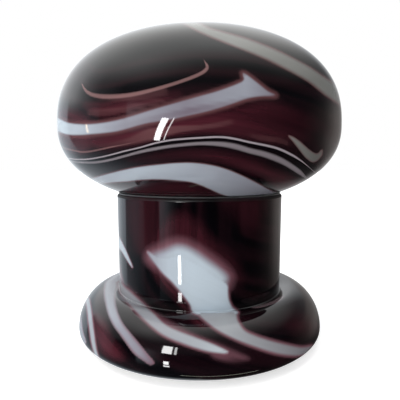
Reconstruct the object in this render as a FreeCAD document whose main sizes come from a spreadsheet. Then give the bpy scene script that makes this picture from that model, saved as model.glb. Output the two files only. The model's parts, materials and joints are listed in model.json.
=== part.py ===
import FreeCAD, Part
import math
import os
import Sketcher

# A mushroom-shaped glass table lamp. All lengths are in millimetres.
# +Z points up. The origin is the middle of the circle that the felt ring stands on.
# The cord's inlet is at the back, towards +Y.

document = FreeCAD.newDocument("TableLamp")
sheet = document.addObject("Spreadsheet::Sheet", "sizes")

# Driving dimensions

baseGlassSizes = {
    "column_radius": 67.0,
    "column_taper": 0.7,
    "column_wall": 5.7,
    "column_rim_level": 116.9,
    "column_rim_round": 1.5,
    "crease_level": 39.3,
    "foot_radius": 98.2,
    "foot_widest_level": 13.9,
    "foot_crown_radius": 76.0,
    "foot_crown_level": 42.0,
    "foot_wall": 5.5,
    "ground_rim_inset": 14.2,
    "ground_rim_width": 7.0,
    "ground_rim_round": 1.4,
    "inlet_level": 17.5,
    "inlet_hole_radius": 4.5,
}

shadeSizes = {
    "shade_radius": 110.1,
    "shade_widest_level": 167.6,
    "shade_crown_rise": 72.8,
    "shade_under_rise": 58.5,
    "shade_wall": 5.0,
    "shade_neck_gap": 1.8,
    "shade_neck_wall": 4.5,
    "shade_neck_length": 12.0,
    "shade_neck_round": 1.6,
    "seat_ring_thickness": 1.0,
    "seat_ring_inset": 1.3,
    "seat_ring_width": 3.2,
    "seat_ring_round": 0.25,
    "seat_gap": 0.3,
}

plateSizes = {
    "felt_thickness": 2.0,
    "felt_width": 13.0,
    "felt_margin": 1.0,
    "plate_margin": 2.0,
    "plate_thickness": 1.2,
    "dish_margin": 13.5,
    "dish_depth": 6.0,
    "dish_slope_reach": 2.5,
    "gasket_thickness": 1.2,
    "gasket_margin": 0.5,
    "plate_centre_hole_radius": 9.0,
}

clipSizes = {
    "clip_count": 3,
    "clip_width": 14.0,
    "clip_thickness": 2.0,
    "clip_length": 33.0,
    "clip_grip": 6.0,
    "clip_heel_length": 4.0,
    "clip_screw_setback": 7.0,
    "clip_pad_length": 4.0,
    "clip_pad_thickness": 1.0,
    "screw_radius": 2.0,
    "screw_hole_radius": 2.2,
    "screw_head_radius": 4.0,
    "screw_head_height": 2.4,
    "screw_recess_radius": 1.3,
    "screw_recess_depth": 1.4,
    "screw_spare_length": 1.6,
    "nut_across_flats": 7.0,
    "nut_height": 3.2,
    "thread_fit": 0.05,
}

bracketSizes = {
    "bracket_height": 36.8,
    "bracket_width": 20.0,
    "bracket_thickness": 1.5,
    "bracket_span": 33.0,
    "bracket_foot_length": 15.0,
    "bracket_screw_reach": 23.5,
    "bracket_bend_round": 1.2,
    "tube_radius": 5.0,
    "tube_bore_radius": 3.5,
    "tube_length": 18.5,
    "tube_chamfer": 0.5,
    "tube_hole_radius": 5.2,
    "tube_lower_spare": 2.0,
    "tube_nut_across_flats": 14.0,
    "tube_nut_height": 3.0,
    "lock_washer_radius": 8.0,
    "lock_washer_thickness": 0.8,
    "lock_washer_tooth_width": 1.6,
    "lock_washer_tooth_depth": 1.4,
    "lock_washer_teeth": 10,
}

holderSizes = {
    "cap_stand_off": 1.2,
    "cap_boss_radius": 7.5,
    "cap_boss_length": 6.0,
    "cap_dome_rise": 7.0,
    "cap_skirt_height": 11.0,
    "cap_radius": 17.0,
    "cap_wall": 2.0,
    "grub_screw_radius": 1.5,
    "grub_screw_length": 3.4,
    "shell_gap": 0.3,
    "shell_wall": 2.2,
    "shell_overlap": 6.0,
    "shell_lower_height": 19.0,
    "shell_upper_height": 20.0,
    "shell_upper_radius": 17.6,
    "shell_bore_radius": 14.9,
    "shell_shoulder": 2.0,
    "insert_height": 10.0,
    "insert_radius": 16.8,
    "thread_root_radius": 12.05,
    "thread_crest_radius": 13.15,
    "thread_rib_radius": 0.85,
    "thread_pitch": 3.629,
    "thread_gap": 0.3,
    "screw_shell_wall": 0.4,
    "screw_shell_height": 21.0,
    "screw_shell_turns": 4,
    "screw_shell_hole_radius": 8.0,
    "leaf_width": 6.0,
    "leaf_thickness": 0.4,
    "leaf_rise": 2.3,
    "leaf_half_length": 7.0,
    "leaf_rivet_reach": 5.3,
    "leaf_bend_reach": 3.2,
    "leaf_nose_reach": 0.9,
    "leaf_gap": 0.3,
    "shell_rivet_reach": 10.5,
    "rivet_radius": 1.2,
    "rivet_head_radius": 1.6,
    "rivet_head_height": 0.8,
    "terminal_length": 8.0,
    "terminal_width": 7.0,
    "terminal_height": 6.0,
    "terminal_reach": 8.0,
    "terminal_screw_radius": 1.5,
    "terminal_screw_head_radius": 2.6,
    "terminal_screw_head_height": 1.8,
    "terminal_screw_depth": 3.0,
}

bulbSizes = {
    "tip_radius": 4.6,
    "tip_height": 0.9,
    "tip_gap": 0.3,
    "insulator_low_radius": 5.2,
    "insulator_collar": 1.5,
    "insulator_gap": 0.1,
    "cap_thread_turns": 4.5,
    "cap_metal": 0.4,
    "cap_rim_radius": 13.2,
    "cap_rim_height": 5.0,
    "envelope_radius": 30.0,
    "envelope_height": 81.0,
    "envelope_neck_radius": 12.4,
    "envelope_neck_depth": 4.3,
    "envelope_glass": 0.8,
    "stem_radius": 11.2,
    "stem_tube_radius": 3.0,
    "stem_height": 30.0,
    "stem_glass": 1.0,
    "support_wire_radius": 0.4,
    "filament_radius": 0.9,
    "filament_length": 36.0,
    "filament_count": 4,
    "filament_low_reach": 6.5,
    "driver_radius": 11.0,
    "driver_thickness": 1.6,
    "driver_rise": 4.5,
    "capacitor_radius": 3.0,
    "capacitor_height": 7.0,
}

grommetSizes = {
    "grommet_bore_radius": 3.3,
    "grommet_body_radius": 4.4,
    "grommet_outer_flange_radius": 6.5,
    "grommet_inner_flange_radius": 5.6,
    "grommet_flange_thickness": 1.5,
    "grommet_gap": 0.3,
    "overrun": 1.0,
}

# Exponents of the rounded outlines, 2 being a plain ellipse
crownRoundness = 2.45
underRoundness = 2.2
footTopRoundness = 1.87
footBottomRoundness = 2.4
outlineSteps = 12

# Two places count as one when they differ by less than this share of their size
matchShare = 0.01

row = 0
numbers = {}
sizeGroups = (
    baseGlassSizes, shadeSizes, plateSizes, clipSizes,
    bracketSizes, holderSizes, bulbSizes, grommetSizes,
)
for sizeGroup in sizeGroups:
    for alias, number in sizeGroup.items():
        row += 1
        sheet.set("A%d" % row, alias.replace("_", " "))
        sheet.set("B%d" % row, str(number))
        sheet.setAlias("B%d" % row, alias)
        numbers[alias] = number
document.recompute()


# A size knows its number and the formula that gives it from the sheet

class Size:
    def __init__(self, number, formula):
        self.number = number
        self.formula = formula

    def __float__(self):
        return float(self.number)

    def __add__(self, other):
        return Size(self.number + float(other), "(%s + %s)" % (self.formula, formulaOf(other)))

    def __radd__(self, other):
        return Size(float(other) + self.number, "(%s + %s)" % (formulaOf(other), self.formula))

    def __sub__(self, other):
        return Size(self.number - float(other), "(%s - %s)" % (self.formula, formulaOf(other)))

    def __rsub__(self, other):
        return Size(float(other) - self.number, "(%s - %s)" % (formulaOf(other), self.formula))

    def __mul__(self, other):
        return Size(self.number * float(other), "(%s * %s)" % (self.formula, formulaOf(other)))

    def __truediv__(self, other):
        return Size(self.number / float(other), "(%s / %s)" % (self.formula, formulaOf(other)))

    def __pow__(self, other):
        return Size(self.number ** float(other), "(%s ^ %s)" % (self.formula, formulaOf(other)))

    def __neg__(self):
        return Size(-self.number, "(0 - %s)" % self.formula)


def formulaOf(value):
    return value.formula if isinstance(value, Size) else repr(float(value))


def size(alias):
    return Size(float(sheet.get(alias)), "sizes." + alias)


def bind(thing, prop, value):
    if isinstance(value, Size):
        thing.setExpression(prop, value.formula)
    else:
        thing.setExpression(prop, repr(float(value)))


def bindPlace(thing, place):
    for letter, value in zip("xyz", place):
        if isinstance(value, Size):
            bind(thing, "Placement.Base." + letter, value)


# Part primitives and booleans

def cylinder(name, radius, height, place=(0, 0, 0)):
    thing = document.addObject("Part::Cylinder", name)
    bind(thing, "Radius", radius)
    bind(thing, "Height", height)
    bindPlace(thing, place)
    return thing


def box(name, length, width, height, place):
    thing = document.addObject("Part::Box", name)
    bind(thing, "Length", length)
    bind(thing, "Width", width)
    bind(thing, "Height", height)
    bindPlace(thing, place)
    return thing


def hexPrism(name, acrossFlats, height, place=(0, 0, 0)):
    thing = document.addObject("Part::Prism", name)
    thing.Polygon = 6
    bind(thing, "Circumradius", acrossFlats / 2 / math.cos(math.pi / 6))
    bind(thing, "Height", height)
    bindPlace(thing, place)
    return thing


def cut(name, base, tool):
    thing = document.addObject("Part::Cut", name)
    thing.Base = base
    thing.Tool = tool
    return thing


def fuse(name, pieces):
    thing = document.addObject("Part::MultiFuse", name)
    thing.Shapes = pieces
    thing.Refine = True
    return thing


def group(name, pieces):
    thing = document.addObject("Part::Compound", name)
    thing.Links = pieces
    return thing


def turnAboutZ(thing, degrees):
    turn = FreeCAD.Rotation(FreeCAD.Vector(0, 0, 1), degrees)
    thing.Placement = FreeCAD.Placement(FreeCAD.Vector(0, 0, 0), turn)
    return thing


def layAlong(thing, axis, degrees, place):
    thing.Placement = FreeCAD.Placement(FreeCAD.Vector(0, 0, 0), FreeCAD.Rotation(axis, degrees))
    bindPlace(thing, place)
    return thing


# Sketched bodies

def newBody(name):
    return document.addObject("PartDesign::Body", name)


def originPlane(body, role):
    for feature in body.Origin.OriginFeatures:
        if feature.Role == role:
            return feature


def newSketch(body, name, role):
    sketch = body.newObject("Sketcher::SketchObject", name)
    sketch.AttachmentSupport = [(originPlane(body, role), "")]
    sketch.MapMode = "FlatFace"
    return sketch


def fixValue(sketch, constraint, value):
    index = sketch.addConstraint(constraint)
    if isinstance(value, Size):
        sketch.setExpression("Constraints[%d]" % index, value.formula)


def fixCorner(sketch, line, across, up):
    if isinstance(across, Size):
        fixValue(sketch, Sketcher.Constraint("DistanceX", -1, 1, line, 1, float(across)), across)
    else:
        sketch.addConstraint(Sketcher.Constraint("PointOnObject", line, 1, -2))
    if isinstance(up, Size):
        fixValue(sketch, Sketcher.Constraint("DistanceY", -1, 1, line, 1, float(up)), up)
    else:
        sketch.addConstraint(Sketcher.Constraint("PointOnObject", line, 1, -1))


def drawOutline(sketch, corners):
    points = [FreeCAD.Vector(float(across), float(up), 0) for across, up in corners]
    first = sketch.GeometryCount
    for index, point in enumerate(points):
        sketch.addGeometry(Part.LineSegment(point, points[(index + 1) % len(points)]), False)
    for index in range(len(points)):
        following = first + (index + 1) % len(points)
        sketch.addConstraint(Sketcher.Constraint("Coincident", first + index, 2, following, 1))
    for index, (across, up) in enumerate(corners):
        fixCorner(sketch, first + index, across, up)


def drawCircle(sketch, radius, across=0, up=0):
    centre = FreeCAD.Vector(float(across), float(up), 0)
    index = sketch.addGeometry(Part.Circle(centre, FreeCAD.Vector(0, 0, 1), float(radius)), False)
    fixValue(sketch, Sketcher.Constraint("Radius", index, float(radius)), radius)
    if isinstance(across, Size) or isinstance(up, Size):
        if isinstance(across, Size):
            fixValue(sketch, Sketcher.Constraint("DistanceX", -1, 1, index, 3, float(across)), across)
        else:
            sketch.addConstraint(Sketcher.Constraint("PointOnObject", index, 3, -2))
        if isinstance(up, Size):
            fixValue(sketch, Sketcher.Constraint("DistanceY", -1, 1, index, 3, float(up)), up)
        else:
            sketch.addConstraint(Sketcher.Constraint("PointOnObject", index, 3, -1))
    else:
        sketch.addConstraint(Sketcher.Constraint("Coincident", index, 3, -1, 1))


def turnedBody(name, corners):
    body = newBody(name)
    sketch = newSketch(body, name + "_outline", "XZ_Plane")
    drawOutline(sketch, corners)
    turn = body.newObject("PartDesign::Revolution", name + "_turn")
    turn.Profile = sketch
    turn.ReferenceAxis = (sketch, ["V_Axis"])
    turn.Angle = 360
    sketch.Visibility = False
    return body


def ringBody(name, outerRadius, innerRadius, thickness, level):
    body = newBody(name)
    sketch = newSketch(body, name + "_rings", "XY_Plane")
    drawCircle(sketch, outerRadius)
    drawCircle(sketch, innerRadius)
    pad = body.newObject("PartDesign::Pad", name + "_pad")
    pad.Profile = sketch
    bind(pad, "Length", thickness)
    bindPlace(body, (0, 0, level))
    return body


def cutThrough(body, sketch, name):
    pocket = body.newObject("PartDesign::Pocket", name)
    pocket.Profile = sketch
    pocket.Type = "ThroughAll"
    pocket.Midplane = True
    return pocket


def isLevelRing(edge):
    return edge.BoundBox.ZLength < matchShare * edge.BoundBox.XLength


def roundEdges(body, name, radius, wanted):
    return dressEdges(body, "PartDesign::Fillet", name, "Radius", radius, wanted)


def chamferEdges(body, name, length, wanted):
    return dressEdges(body, "PartDesign::Chamfer", name, "Size", length, wanted)


def dressEdges(body, kind, name, prop, length, wanted):
    document.recompute()
    edges = ["Edge%d" % (index + 1) for index, edge in enumerate(body.Shape.Edges) if wanted(edge)]
    base = body.Tip
    feature = body.newObject(kind, name)
    feature.Base = (base, edges)
    bind(feature, prop, length)
    body.Tip = feature
    return feature


# Turned solids with curved outlines

def quarterCurve(centreRadius, centreLevel, reach, rise, roundness, start=0.0, stop=1.0):
    # from the widest point towards the level point; start and stop are shares of the quarter turn
    points = []
    for step in range(outlineSteps + 1):
        angle = math.pi / 2 * (start + (stop - start) * step / outlineSteps)
        across = max(math.cos(angle), 0.0) ** (2 / roundness)
        along = max(math.sin(angle), 0.0) ** (2 / roundness)
        points.append((float(centreRadius) + float(reach) * across, float(centreLevel) + float(rise) * along))
    return points


def splineEdge(points, firstTangent, lastTangent):
    curve = Part.BSplineCurve()
    places = [FreeCAD.Vector(across, 0, up) for across, up in points]
    tangents = [FreeCAD.Vector(across, 0, up) for across, up in (firstTangent, lastTangent)]
    curve.interpolate(Points=places, InitialTangent=tangents[0], FinalTangent=tangents[1])
    return curve.toShape()


def lineEdge(start, end):
    places = [FreeCAD.Vector(point[0], 0, point[1]) for point in (start, end)]
    return Part.LineSegment(*places).toShape()


def cornerArc(start, corner, end):
    # a quarter round from start to end that is tangent to both walls of the corner
    halfway = [(start[axis] + end[axis]) / 2 for axis in (0, 1)]
    middle = [halfway[axis] + (corner[axis] - halfway[axis]) * (math.sqrt(2) - 1) for axis in (0, 1)]
    places = [FreeCAD.Vector(point[0], 0, point[1]) for point in (start, middle, end)]
    return Part.Arc(*places).toShape()


def turnedFeature(name, edges):
    profile = Part.Face(Part.Wire(edges))
    shape = profile.revolve(FreeCAD.Vector(0, 0, 0), FreeCAD.Vector(0, 0, 1), 360)
    thing = document.addObject("Part::Feature", name)
    thing.Shape = shape
    return thing


nodes = {}


def keep(name, thing):
    thing.Label = name
    nodes[name] = thing


# How far the parts of the neck and the seat reach from the axis

waistReach = size("column_radius") - size("column_taper")
neckReach = size("column_radius") - size("column_wall") - size("shade_neck_gap")
seatRingReach = size("column_radius") - size("seat_ring_inset")


# How far the parts under the glass reach from the axis, all from the ring that the foot is ground flat on

groundOuterReach = size("foot_radius") - size("ground_rim_inset")
groundInnerReach = groundOuterReach - size("ground_rim_width")
plateReach = groundOuterReach - size("plate_margin")
feltReach = plateReach - size("felt_margin")
dishReach = groundInnerReach - size("dish_margin")
clipOuterReach = groundInnerReach + size("clip_grip")
clipInnerReach = clipOuterReach - size("clip_length")
clipScrewReach = clipInnerReach + size("clip_screw_setback")


# Levels that the stack of parts gives, from the table up

plateLow = size("felt_thickness")
flangeTop = plateLow + size("plate_thickness")
dishUnder = plateLow + size("dish_depth")
dishTop = dishUnder + size("plate_thickness")
glassRimLevel = flangeTop + size("gasket_thickness")
shadeSeatLevel = size("column_rim_level") + size("seat_ring_thickness") + size("seat_gap")
webTop = dishTop + size("bracket_height")
tubeNutTop = webTop + size("lock_washer_thickness") + size("tube_nut_height")
capLevel = tubeNutTop + size("cap_stand_off")
capBossTop = capLevel + size("cap_boss_length")
capSkirtLevel = capBossTop + size("cap_dome_rise")
insertLevel = capSkirtLevel + size("cap_skirt_height")
insertTop = insertLevel + size("insert_height")
capThreadLevel = insertTop + size("thread_pitch") * 2
leafTop = insertTop + size("leaf_thickness") + size("leaf_rise")
insulatorLevel = leafTop + size("leaf_gap") + size("tip_height") + size("tip_gap")
capRimLevel = capThreadLevel + size("thread_pitch") * size("cap_thread_turns")
capRimTop = capRimLevel + size("cap_rim_height")


# Glass base: a hollow foot and a column, blown in one piece

def makeGlassBase():
    columnRadius = float(size("column_radius"))
    waistRadius = float(waistReach)
    wall = float(size("column_wall"))
    rimLevel = float(size("column_rim_level"))
    rimRound = float(size("column_rim_round"))
    creaseLevel = float(size("crease_level"))
    crownRadius = float(size("foot_crown_radius"))
    crownLevel = float(size("foot_crown_level"))
    widestLevel = float(size("foot_widest_level"))
    footRadius = float(size("foot_radius"))
    footWall = float(size("foot_wall"))
    groundOuter = float(groundOuterReach)
    groundInner = float(groundInnerReach)
    groundRound = float(size("ground_rim_round"))
    groundLevel = float(glassRimLevel)

    lowerOut = quarterCurve(groundOuter, widestLevel, footRadius - groundOuter, groundLevel - widestLevel,
                            footBottomRoundness)
    upperOut = quarterCurve(crownRadius, widestLevel, footRadius - crownRadius, crownLevel - widestLevel,
                            footTopRoundness)
    lowerIn = quarterCurve(groundOuter, widestLevel, footRadius - groundOuter - footWall,
                           groundLevel + footWall - widestLevel, footBottomRoundness)
    upperIn = quarterCurve(crownRadius, widestLevel, footRadius - crownRadius - footWall,
                           crownLevel - footWall - widestLevel, footTopRoundness)
    lowerOut.reverse()
    upperIn.reverse()

    # the valley between the foot's crown and the column, and the same bend inside
    valleySpan = crownRadius - waistRadius
    valleyShares = [(0.25, 0.08), (0.55, 0.36), (0.8, 0.72), (1.0, 1.0)]
    valley = [(crownRadius, crownLevel)]
    for acrossShare, dropShare in valleyShares:
        across = crownRadius - valleySpan * acrossShare
        valley.append((across, crownLevel - (crownLevel - creaseLevel) * dropShare))
    boreLow = waistRadius - wall
    bendSpan = crownRadius - boreLow
    bendTop = creaseLevel + wall
    roofLevel = crownLevel - footWall
    bendShares = [(0.03, 0.42), (0.12, 0.12), (0.3, -0.08), (0.6, -0.06)]
    bend = [(boreLow, bendTop)]
    for acrossShare, riseShare in bendShares:
        bend.append((boreLow + bendSpan * acrossShare, roofLevel + (bendTop - roofLevel) * riseShare))
    bend.append((crownRadius, roofLevel))

    bore = columnRadius - wall
    groundStart = (groundInner, groundLevel)
    innerRimTop = (groundOuter, groundLevel + footWall)
    edges = [
        lineEdge(groundStart, (groundOuter, groundLevel)),
        splineEdge(lowerOut, (1, 0), (0, 1)),
        splineEdge(upperOut, (0, 1), (-1, 0)),
        splineEdge(valley, (-1, 0), (-1, -0.8)),
        lineEdge(valley[-1], (columnRadius, rimLevel - rimRound)),
        cornerArc((columnRadius, rimLevel - rimRound), (columnRadius, rimLevel),
                  (columnRadius - rimRound, rimLevel)),
        lineEdge((columnRadius - rimRound, rimLevel), (bore + rimRound, rimLevel)),
        cornerArc((bore + rimRound, rimLevel), (bore, rimLevel), (bore, rimLevel - rimRound)),
        lineEdge((bore, rimLevel - rimRound), bend[0]),
        splineEdge(bend, (0, -1), (1, 0)),
        splineEdge(upperIn, (1, 0), (0, -1)),
        splineEdge(lowerIn, (0, -1), (-1, 0)),
        lineEdge(innerRimTop, (groundInner + groundRound, innerRimTop[1])),
        cornerArc((groundInner + groundRound, innerRimTop[1]), (groundInner, innerRimTop[1]),
                  (groundInner, innerRimTop[1] - groundRound)),
        lineEdge((groundInner, innerRimTop[1] - groundRound), groundStart),
    ]
    blown = turnedFeature("blown_base", edges)
    holeStart = size("foot_crown_radius") - size("foot_wall")
    holeLength = size("foot_radius") + size("overrun") - holeStart
    hole = cylinder("inlet_hole", size("inlet_hole_radius"), holeLength)
    layAlong(hole, FreeCAD.Vector(1, 0, 0), -90, (0, holeStart, size("inlet_level")))
    return cut("glass_base", blown, hole)


keep("glass_base", makeGlassBase())


# Glass shade: a mushroom cap with a short neck that drops into the column

def shadeHalf(reach, under, crown, fromRadius):
    # the outline from the given radius below the widest point up to the middle of the crown
    widest = float(size("shade_widest_level"))
    cosine = (fromRadius / reach) ** (underRoundness / 2)
    stopShare = math.acos(cosine) / (math.pi / 2)
    below = quarterCurve(0, widest, reach, -under, underRoundness, 0.0, stopShare)
    above = quarterCurve(0, widest, reach, crown, crownRoundness)
    below.reverse()
    return below, above


def makeGlassShade():
    reach = float(size("shade_radius"))
    wall = float(size("shade_wall"))
    under = float(size("shade_under_rise"))
    crown = float(size("shade_crown_rise"))
    widest = float(size("shade_widest_level"))
    neck = float(neckReach)
    neckWall = float(size("shade_neck_wall"))
    neckRound = float(size("shade_neck_round"))
    seatLevel = float(shadeSeatLevel)
    neckLow = seatLevel - float(size("shade_neck_length"))

    # the curve under the cap meets the level seat where its height is the seat's
    seatShare = (widest - seatLevel) / under
    seatRadius = reach * (1 - seatShare ** underRoundness) ** (1 / underRoundness)
    outBelow, outAbove = shadeHalf(reach, under, crown, seatRadius)
    neckBore = neck - neckWall
    inBelow, inAbove = shadeHalf(reach - wall, under - wall, crown - wall, neckBore + neckRound)
    inAbove.reverse()
    inBelow.reverse()
    slopeOut = (outBelow[1][0] - outBelow[0][0], outBelow[1][1] - outBelow[0][1])
    slopeIn = (inBelow[-1][0] - inBelow[-2][0], inBelow[-1][1] - inBelow[-2][1])
    mouthTop = inBelow[-1]
    edges = [
        lineEdge((neck + neckRound, seatLevel), (seatRadius, seatLevel)),
        splineEdge(outBelow, slopeOut, (0, 1)),
        splineEdge(outAbove, (0, 1), (-1, 0)),
        lineEdge(outAbove[-1], inAbove[0]),
        splineEdge(inAbove, (1, 0), (0, -1)),
        splineEdge(inBelow, (0, -1), slopeIn),
        splineEdge([mouthTop, (neckBore, mouthTop[1] - 2 * neckRound)], slopeIn, (0, -1)),
        lineEdge((neckBore, mouthTop[1] - 2 * neckRound), (neckBore, neckLow + neckRound)),
        cornerArc((neckBore, neckLow + neckRound), (neckBore, neckLow), (neckBore + neckRound, neckLow)),
        lineEdge((neckBore + neckRound, neckLow), (neck - neckRound, neckLow)),
        cornerArc((neck - neckRound, neckLow), (neck, neckLow), (neck, neckLow + neckRound)),
        lineEdge((neck, neckLow + neckRound), (neck, seatLevel - neckRound)),
        splineEdge([(neck, seatLevel - neckRound), (neck + neckRound, seatLevel)], (0, 1), (1, 0)),
    ]
    return turnedFeature("glass_shade", edges)


keep("glass_shade", makeGlassShade())

seatRing = ringBody("seat_ring", seatRingReach, seatRingReach - size("seat_ring_width"),
                    size("seat_ring_thickness"), size("column_rim_level"))
roundEdges(seatRing, "seat_ring_edges", size("seat_ring_round"), isLevelRing)
keep("seat_ring", seatRing)


# Bottom: felt ring, pressed plate, gasket and the clamps that hold the plate to the glass

keep("felt_ring", ringBody("felt_ring", feltReach, feltReach - size("felt_width"), size("felt_thickness"), 0))
keep("base_gasket", ringBody("base_gasket", plateReach, groundInnerReach + size("gasket_margin"),
                             size("gasket_thickness"), flangeTop))

# the slope's upper face stands this share of the thickness outside its lower face
slopeShiftShare = 0.67


def makeBasePlate():
    slopeShift = size("plate_thickness") * slopeShiftShare
    slopeFoot = dishReach + size("dish_slope_reach")
    body = turnedBody("base_plate", [
        (0, dishUnder),
        (dishReach, dishUnder),
        (slopeFoot, plateLow),
        (plateReach, plateLow),
        (plateReach, flangeTop),
        (slopeFoot + slopeShift, flangeTop),
        (dishReach + slopeShift, dishTop),
        (0, dishTop),
    ])
    sketch = newSketch(body, "base_plate_middle_holes", "XY_Plane")
    drawCircle(sketch, size("plate_centre_hole_radius"))
    for side in (1, -1):
        drawCircle(sketch, size("screw_hole_radius"), size("bracket_screw_reach") * side)
    cutThrough(body, sketch, "base_plate_middle_cut")
    clipSketch = newSketch(body, "base_plate_clip_hole", "XY_Plane")
    drawCircle(clipSketch, size("screw_hole_radius"), 0, -clipScrewReach)
    clipCut = cutThrough(body, clipSketch, "base_plate_clip_cut")
    pattern = body.newObject("PartDesign::PolarPattern", "base_plate_clip_cuts")
    pattern.Originals = [clipCut]
    pattern.Axis = (clipSketch, ["N_Axis"])
    pattern.Angle = 360
    bind(pattern, "Occurrences", size("clip_count"))
    body.Tip = pattern
    return body


keep("base_plate", makeBasePlate())


def screwFromBelow(name, headTop, length, reach, degrees):
    # a pan-head screw that points up, its head under the given level
    radius = size("screw_radius")
    headLow = headTop - size("screw_head_height")
    head = cylinder(name + "_head", size("screw_head_radius"), size("screw_head_height"), (reach, 0, headLow))
    shank = cylinder(name + "_shank", radius, length + size("screw_head_height"), (reach, 0, headLow))
    recess = hexPrism(name + "_recess", size("screw_recess_radius") * 2, size("screw_recess_depth"),
                      (reach, 0, headLow))
    return turnAboutZ(cut(name, fuse(name + "_blank", [head, shank]), recess), degrees)


def nutAt(name, acrossFlats, height, boreRadius, place, degrees=0):
    blank = hexPrism(name + "_blank", acrossFlats, height, place)
    bore = cylinder(name + "_bore", boreRadius, height, place)
    return turnAboutZ(cut(name, blank, bore), degrees)


def clipAngles():
    count = int(numbers["clip_count"])
    return [-90 + 360 * index / count for index in range(count)]


padLevel = glassRimLevel + size("foot_wall")
clipLow = padLevel + size("clip_pad_thickness")
clipTop = clipLow + size("clip_thickness")
halfClip = size("clip_width") / 2
screwFit = size("screw_radius") + size("thread_fit")

clips = []
clipPads = []
clipScrews = []
clipNuts = []
for number, degrees in enumerate(clipAngles()):
    mark = "_%d" % (number + 1)
    bar = box("clip_bar" + mark, size("clip_length"), size("clip_width"), size("clip_thickness"),
              (clipInnerReach, -halfClip, clipLow))
    heel = box("clip_heel" + mark, size("clip_heel_length"), size("clip_width"), clipTop - dishTop,
               (clipInnerReach, -halfClip, dishTop))
    hole = cylinder("clip_hole" + mark, size("screw_hole_radius"), clipTop, (clipScrewReach, 0, 0))
    clips.append(turnAboutZ(cut("clip" + mark, fuse("clip_blank" + mark, [bar, heel]), hole), degrees))
    pad = box("clip_pad" + mark, size("clip_pad_length"), size("clip_width"), size("clip_pad_thickness"),
              (clipOuterReach - size("clip_pad_length"), -halfClip, padLevel))
    clipPads.append(turnAboutZ(group("clip_pad_turned" + mark, [pad]), degrees))
    clipScrews.append(screwFromBelow("clip_screw" + mark, dishUnder,
                                     clipTop - dishUnder + size("nut_height") + size("screw_spare_length"),
                                     clipScrewReach, degrees))
    clipNuts.append(nutAt("clip_nut" + mark, size("nut_across_flats"), size("nut_height"), screwFit,
                          (clipScrewReach, 0, clipTop), degrees))
keep("rim_clips", group("rim_clips", clips))
keep("clip_pads", group("clip_pads", clipPads))
keep("clip_screws", group("clip_screws", clipScrews))
keep("clip_nuts", group("clip_nuts", clipNuts))


# Bracket: a bent strap that carries the lamp holder

def makeBracket():
    body = newBody("socket_bracket")
    half = size("bracket_span") / 2
    inner = half - size("bracket_thickness")
    outer = half + size("bracket_foot_length")
    footTop = dishTop + size("bracket_thickness")
    webUnder = webTop - size("bracket_thickness")
    sketch = newSketch(body, "bracket_outline", "XZ_Plane")
    drawOutline(sketch, [
        (inner, dishTop), (outer, dishTop), (outer, footTop), (half, footTop), (half, webTop),
        (-half, webTop), (-half, footTop), (-outer, footTop), (-outer, dishTop), (-inner, dishTop),
        (-inner, webUnder), (inner, webUnder),
    ])
    pad = body.newObject("PartDesign::Pad", "bracket_pad")
    pad.Profile = sketch
    pad.SideType = "Symmetric"
    bind(pad, "Length", size("bracket_width"))
    holes = newSketch(body, "bracket_holes", "XY_Plane")
    drawCircle(holes, size("tube_hole_radius"))
    for side in (1, -1):
        drawCircle(holes, size("screw_hole_radius"), size("bracket_screw_reach") * side)
    cutThrough(body, holes, "bracket_hole_cut")
    level = float(webTop)
    bendReach = float(half)

    def isBend(edge):
        bounds = edge.BoundBox
        atTop = abs(bounds.ZMin - level) < matchShare * level
        atSide = abs(abs(bounds.XMin) - bendReach) < matchShare * bendReach
        return atTop and atSide and bounds.YLength > bounds.XLength

    roundEdges(body, "bracket_bends", size("bracket_bend_round"), isBend)
    return body


keep("socket_bracket", makeBracket())

bracketScrews = []
bracketNuts = []
footTop = dishTop + size("bracket_thickness")
for number, degrees in enumerate((0, 180)):
    mark = "_%d" % (number + 1)
    bracketScrews.append(screwFromBelow("bracket_screw" + mark, dishUnder,
                                        footTop - dishUnder + size("nut_height") + size("screw_spare_length"),
                                        size("bracket_screw_reach"), degrees))
    bracketNuts.append(nutAt("bracket_nut" + mark, size("nut_across_flats"), size("nut_height"), screwFit,
                             (size("bracket_screw_reach"), 0, footTop), degrees))
keep("bracket_screws", group("bracket_screws", bracketScrews))
keep("bracket_nuts", group("bracket_nuts", bracketNuts))


# Threaded tube with its nuts and toothed washer

lowerNutLevel = webTop - size("bracket_thickness") - size("tube_nut_height")
tubeLevel = lowerNutLevel - size("tube_lower_spare")
tube = ringBody("threaded_tube", size("tube_radius"), size("tube_bore_radius"), size("tube_length"),
                tubeLevel)
chamferEdges(tube, "tube_ends", size("tube_chamfer"), isLevelRing)
keep("threaded_tube", tube)

tubeFit = size("tube_radius") + size("thread_fit")
upperNutLevel = webTop + size("lock_washer_thickness")
tubeNuts = []
for name, level in (("tube_nut_low", lowerNutLevel), ("tube_nut_high", upperNutLevel)):
    tubeNuts.append(nutAt(name, size("tube_nut_across_flats"), size("tube_nut_height"), tubeFit,
                          (0, 0, level)))
keep("tube_nuts", group("tube_nuts", tubeNuts))


def makeLockWasher():
    body = ringBody("lock_washer", size("lock_washer_radius"), size("tube_hole_radius"),
                    size("lock_washer_thickness"), webTop)
    sketch = newSketch(body, "lock_washer_notch", "XY_Plane")
    halfTooth = size("lock_washer_tooth_width") / 2
    start = size("lock_washer_radius") - size("lock_washer_tooth_depth")
    stop = size("lock_washer_radius") + size("overrun")
    drawOutline(sketch, [(start, -halfTooth), (stop, -halfTooth), (stop, halfTooth), (start, halfTooth)])
    notch = cutThrough(body, sketch, "lock_washer_cut")
    pattern = body.newObject("PartDesign::PolarPattern", "lock_washer_cuts")
    pattern.Originals = [notch]
    pattern.Axis = (sketch, ["N_Axis"])
    pattern.Angle = 360
    bind(pattern, "Occurrences", size("lock_washer_teeth"))
    body.Tip = pattern
    return body


keep("lock_washer", makeLockWasher())


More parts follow.
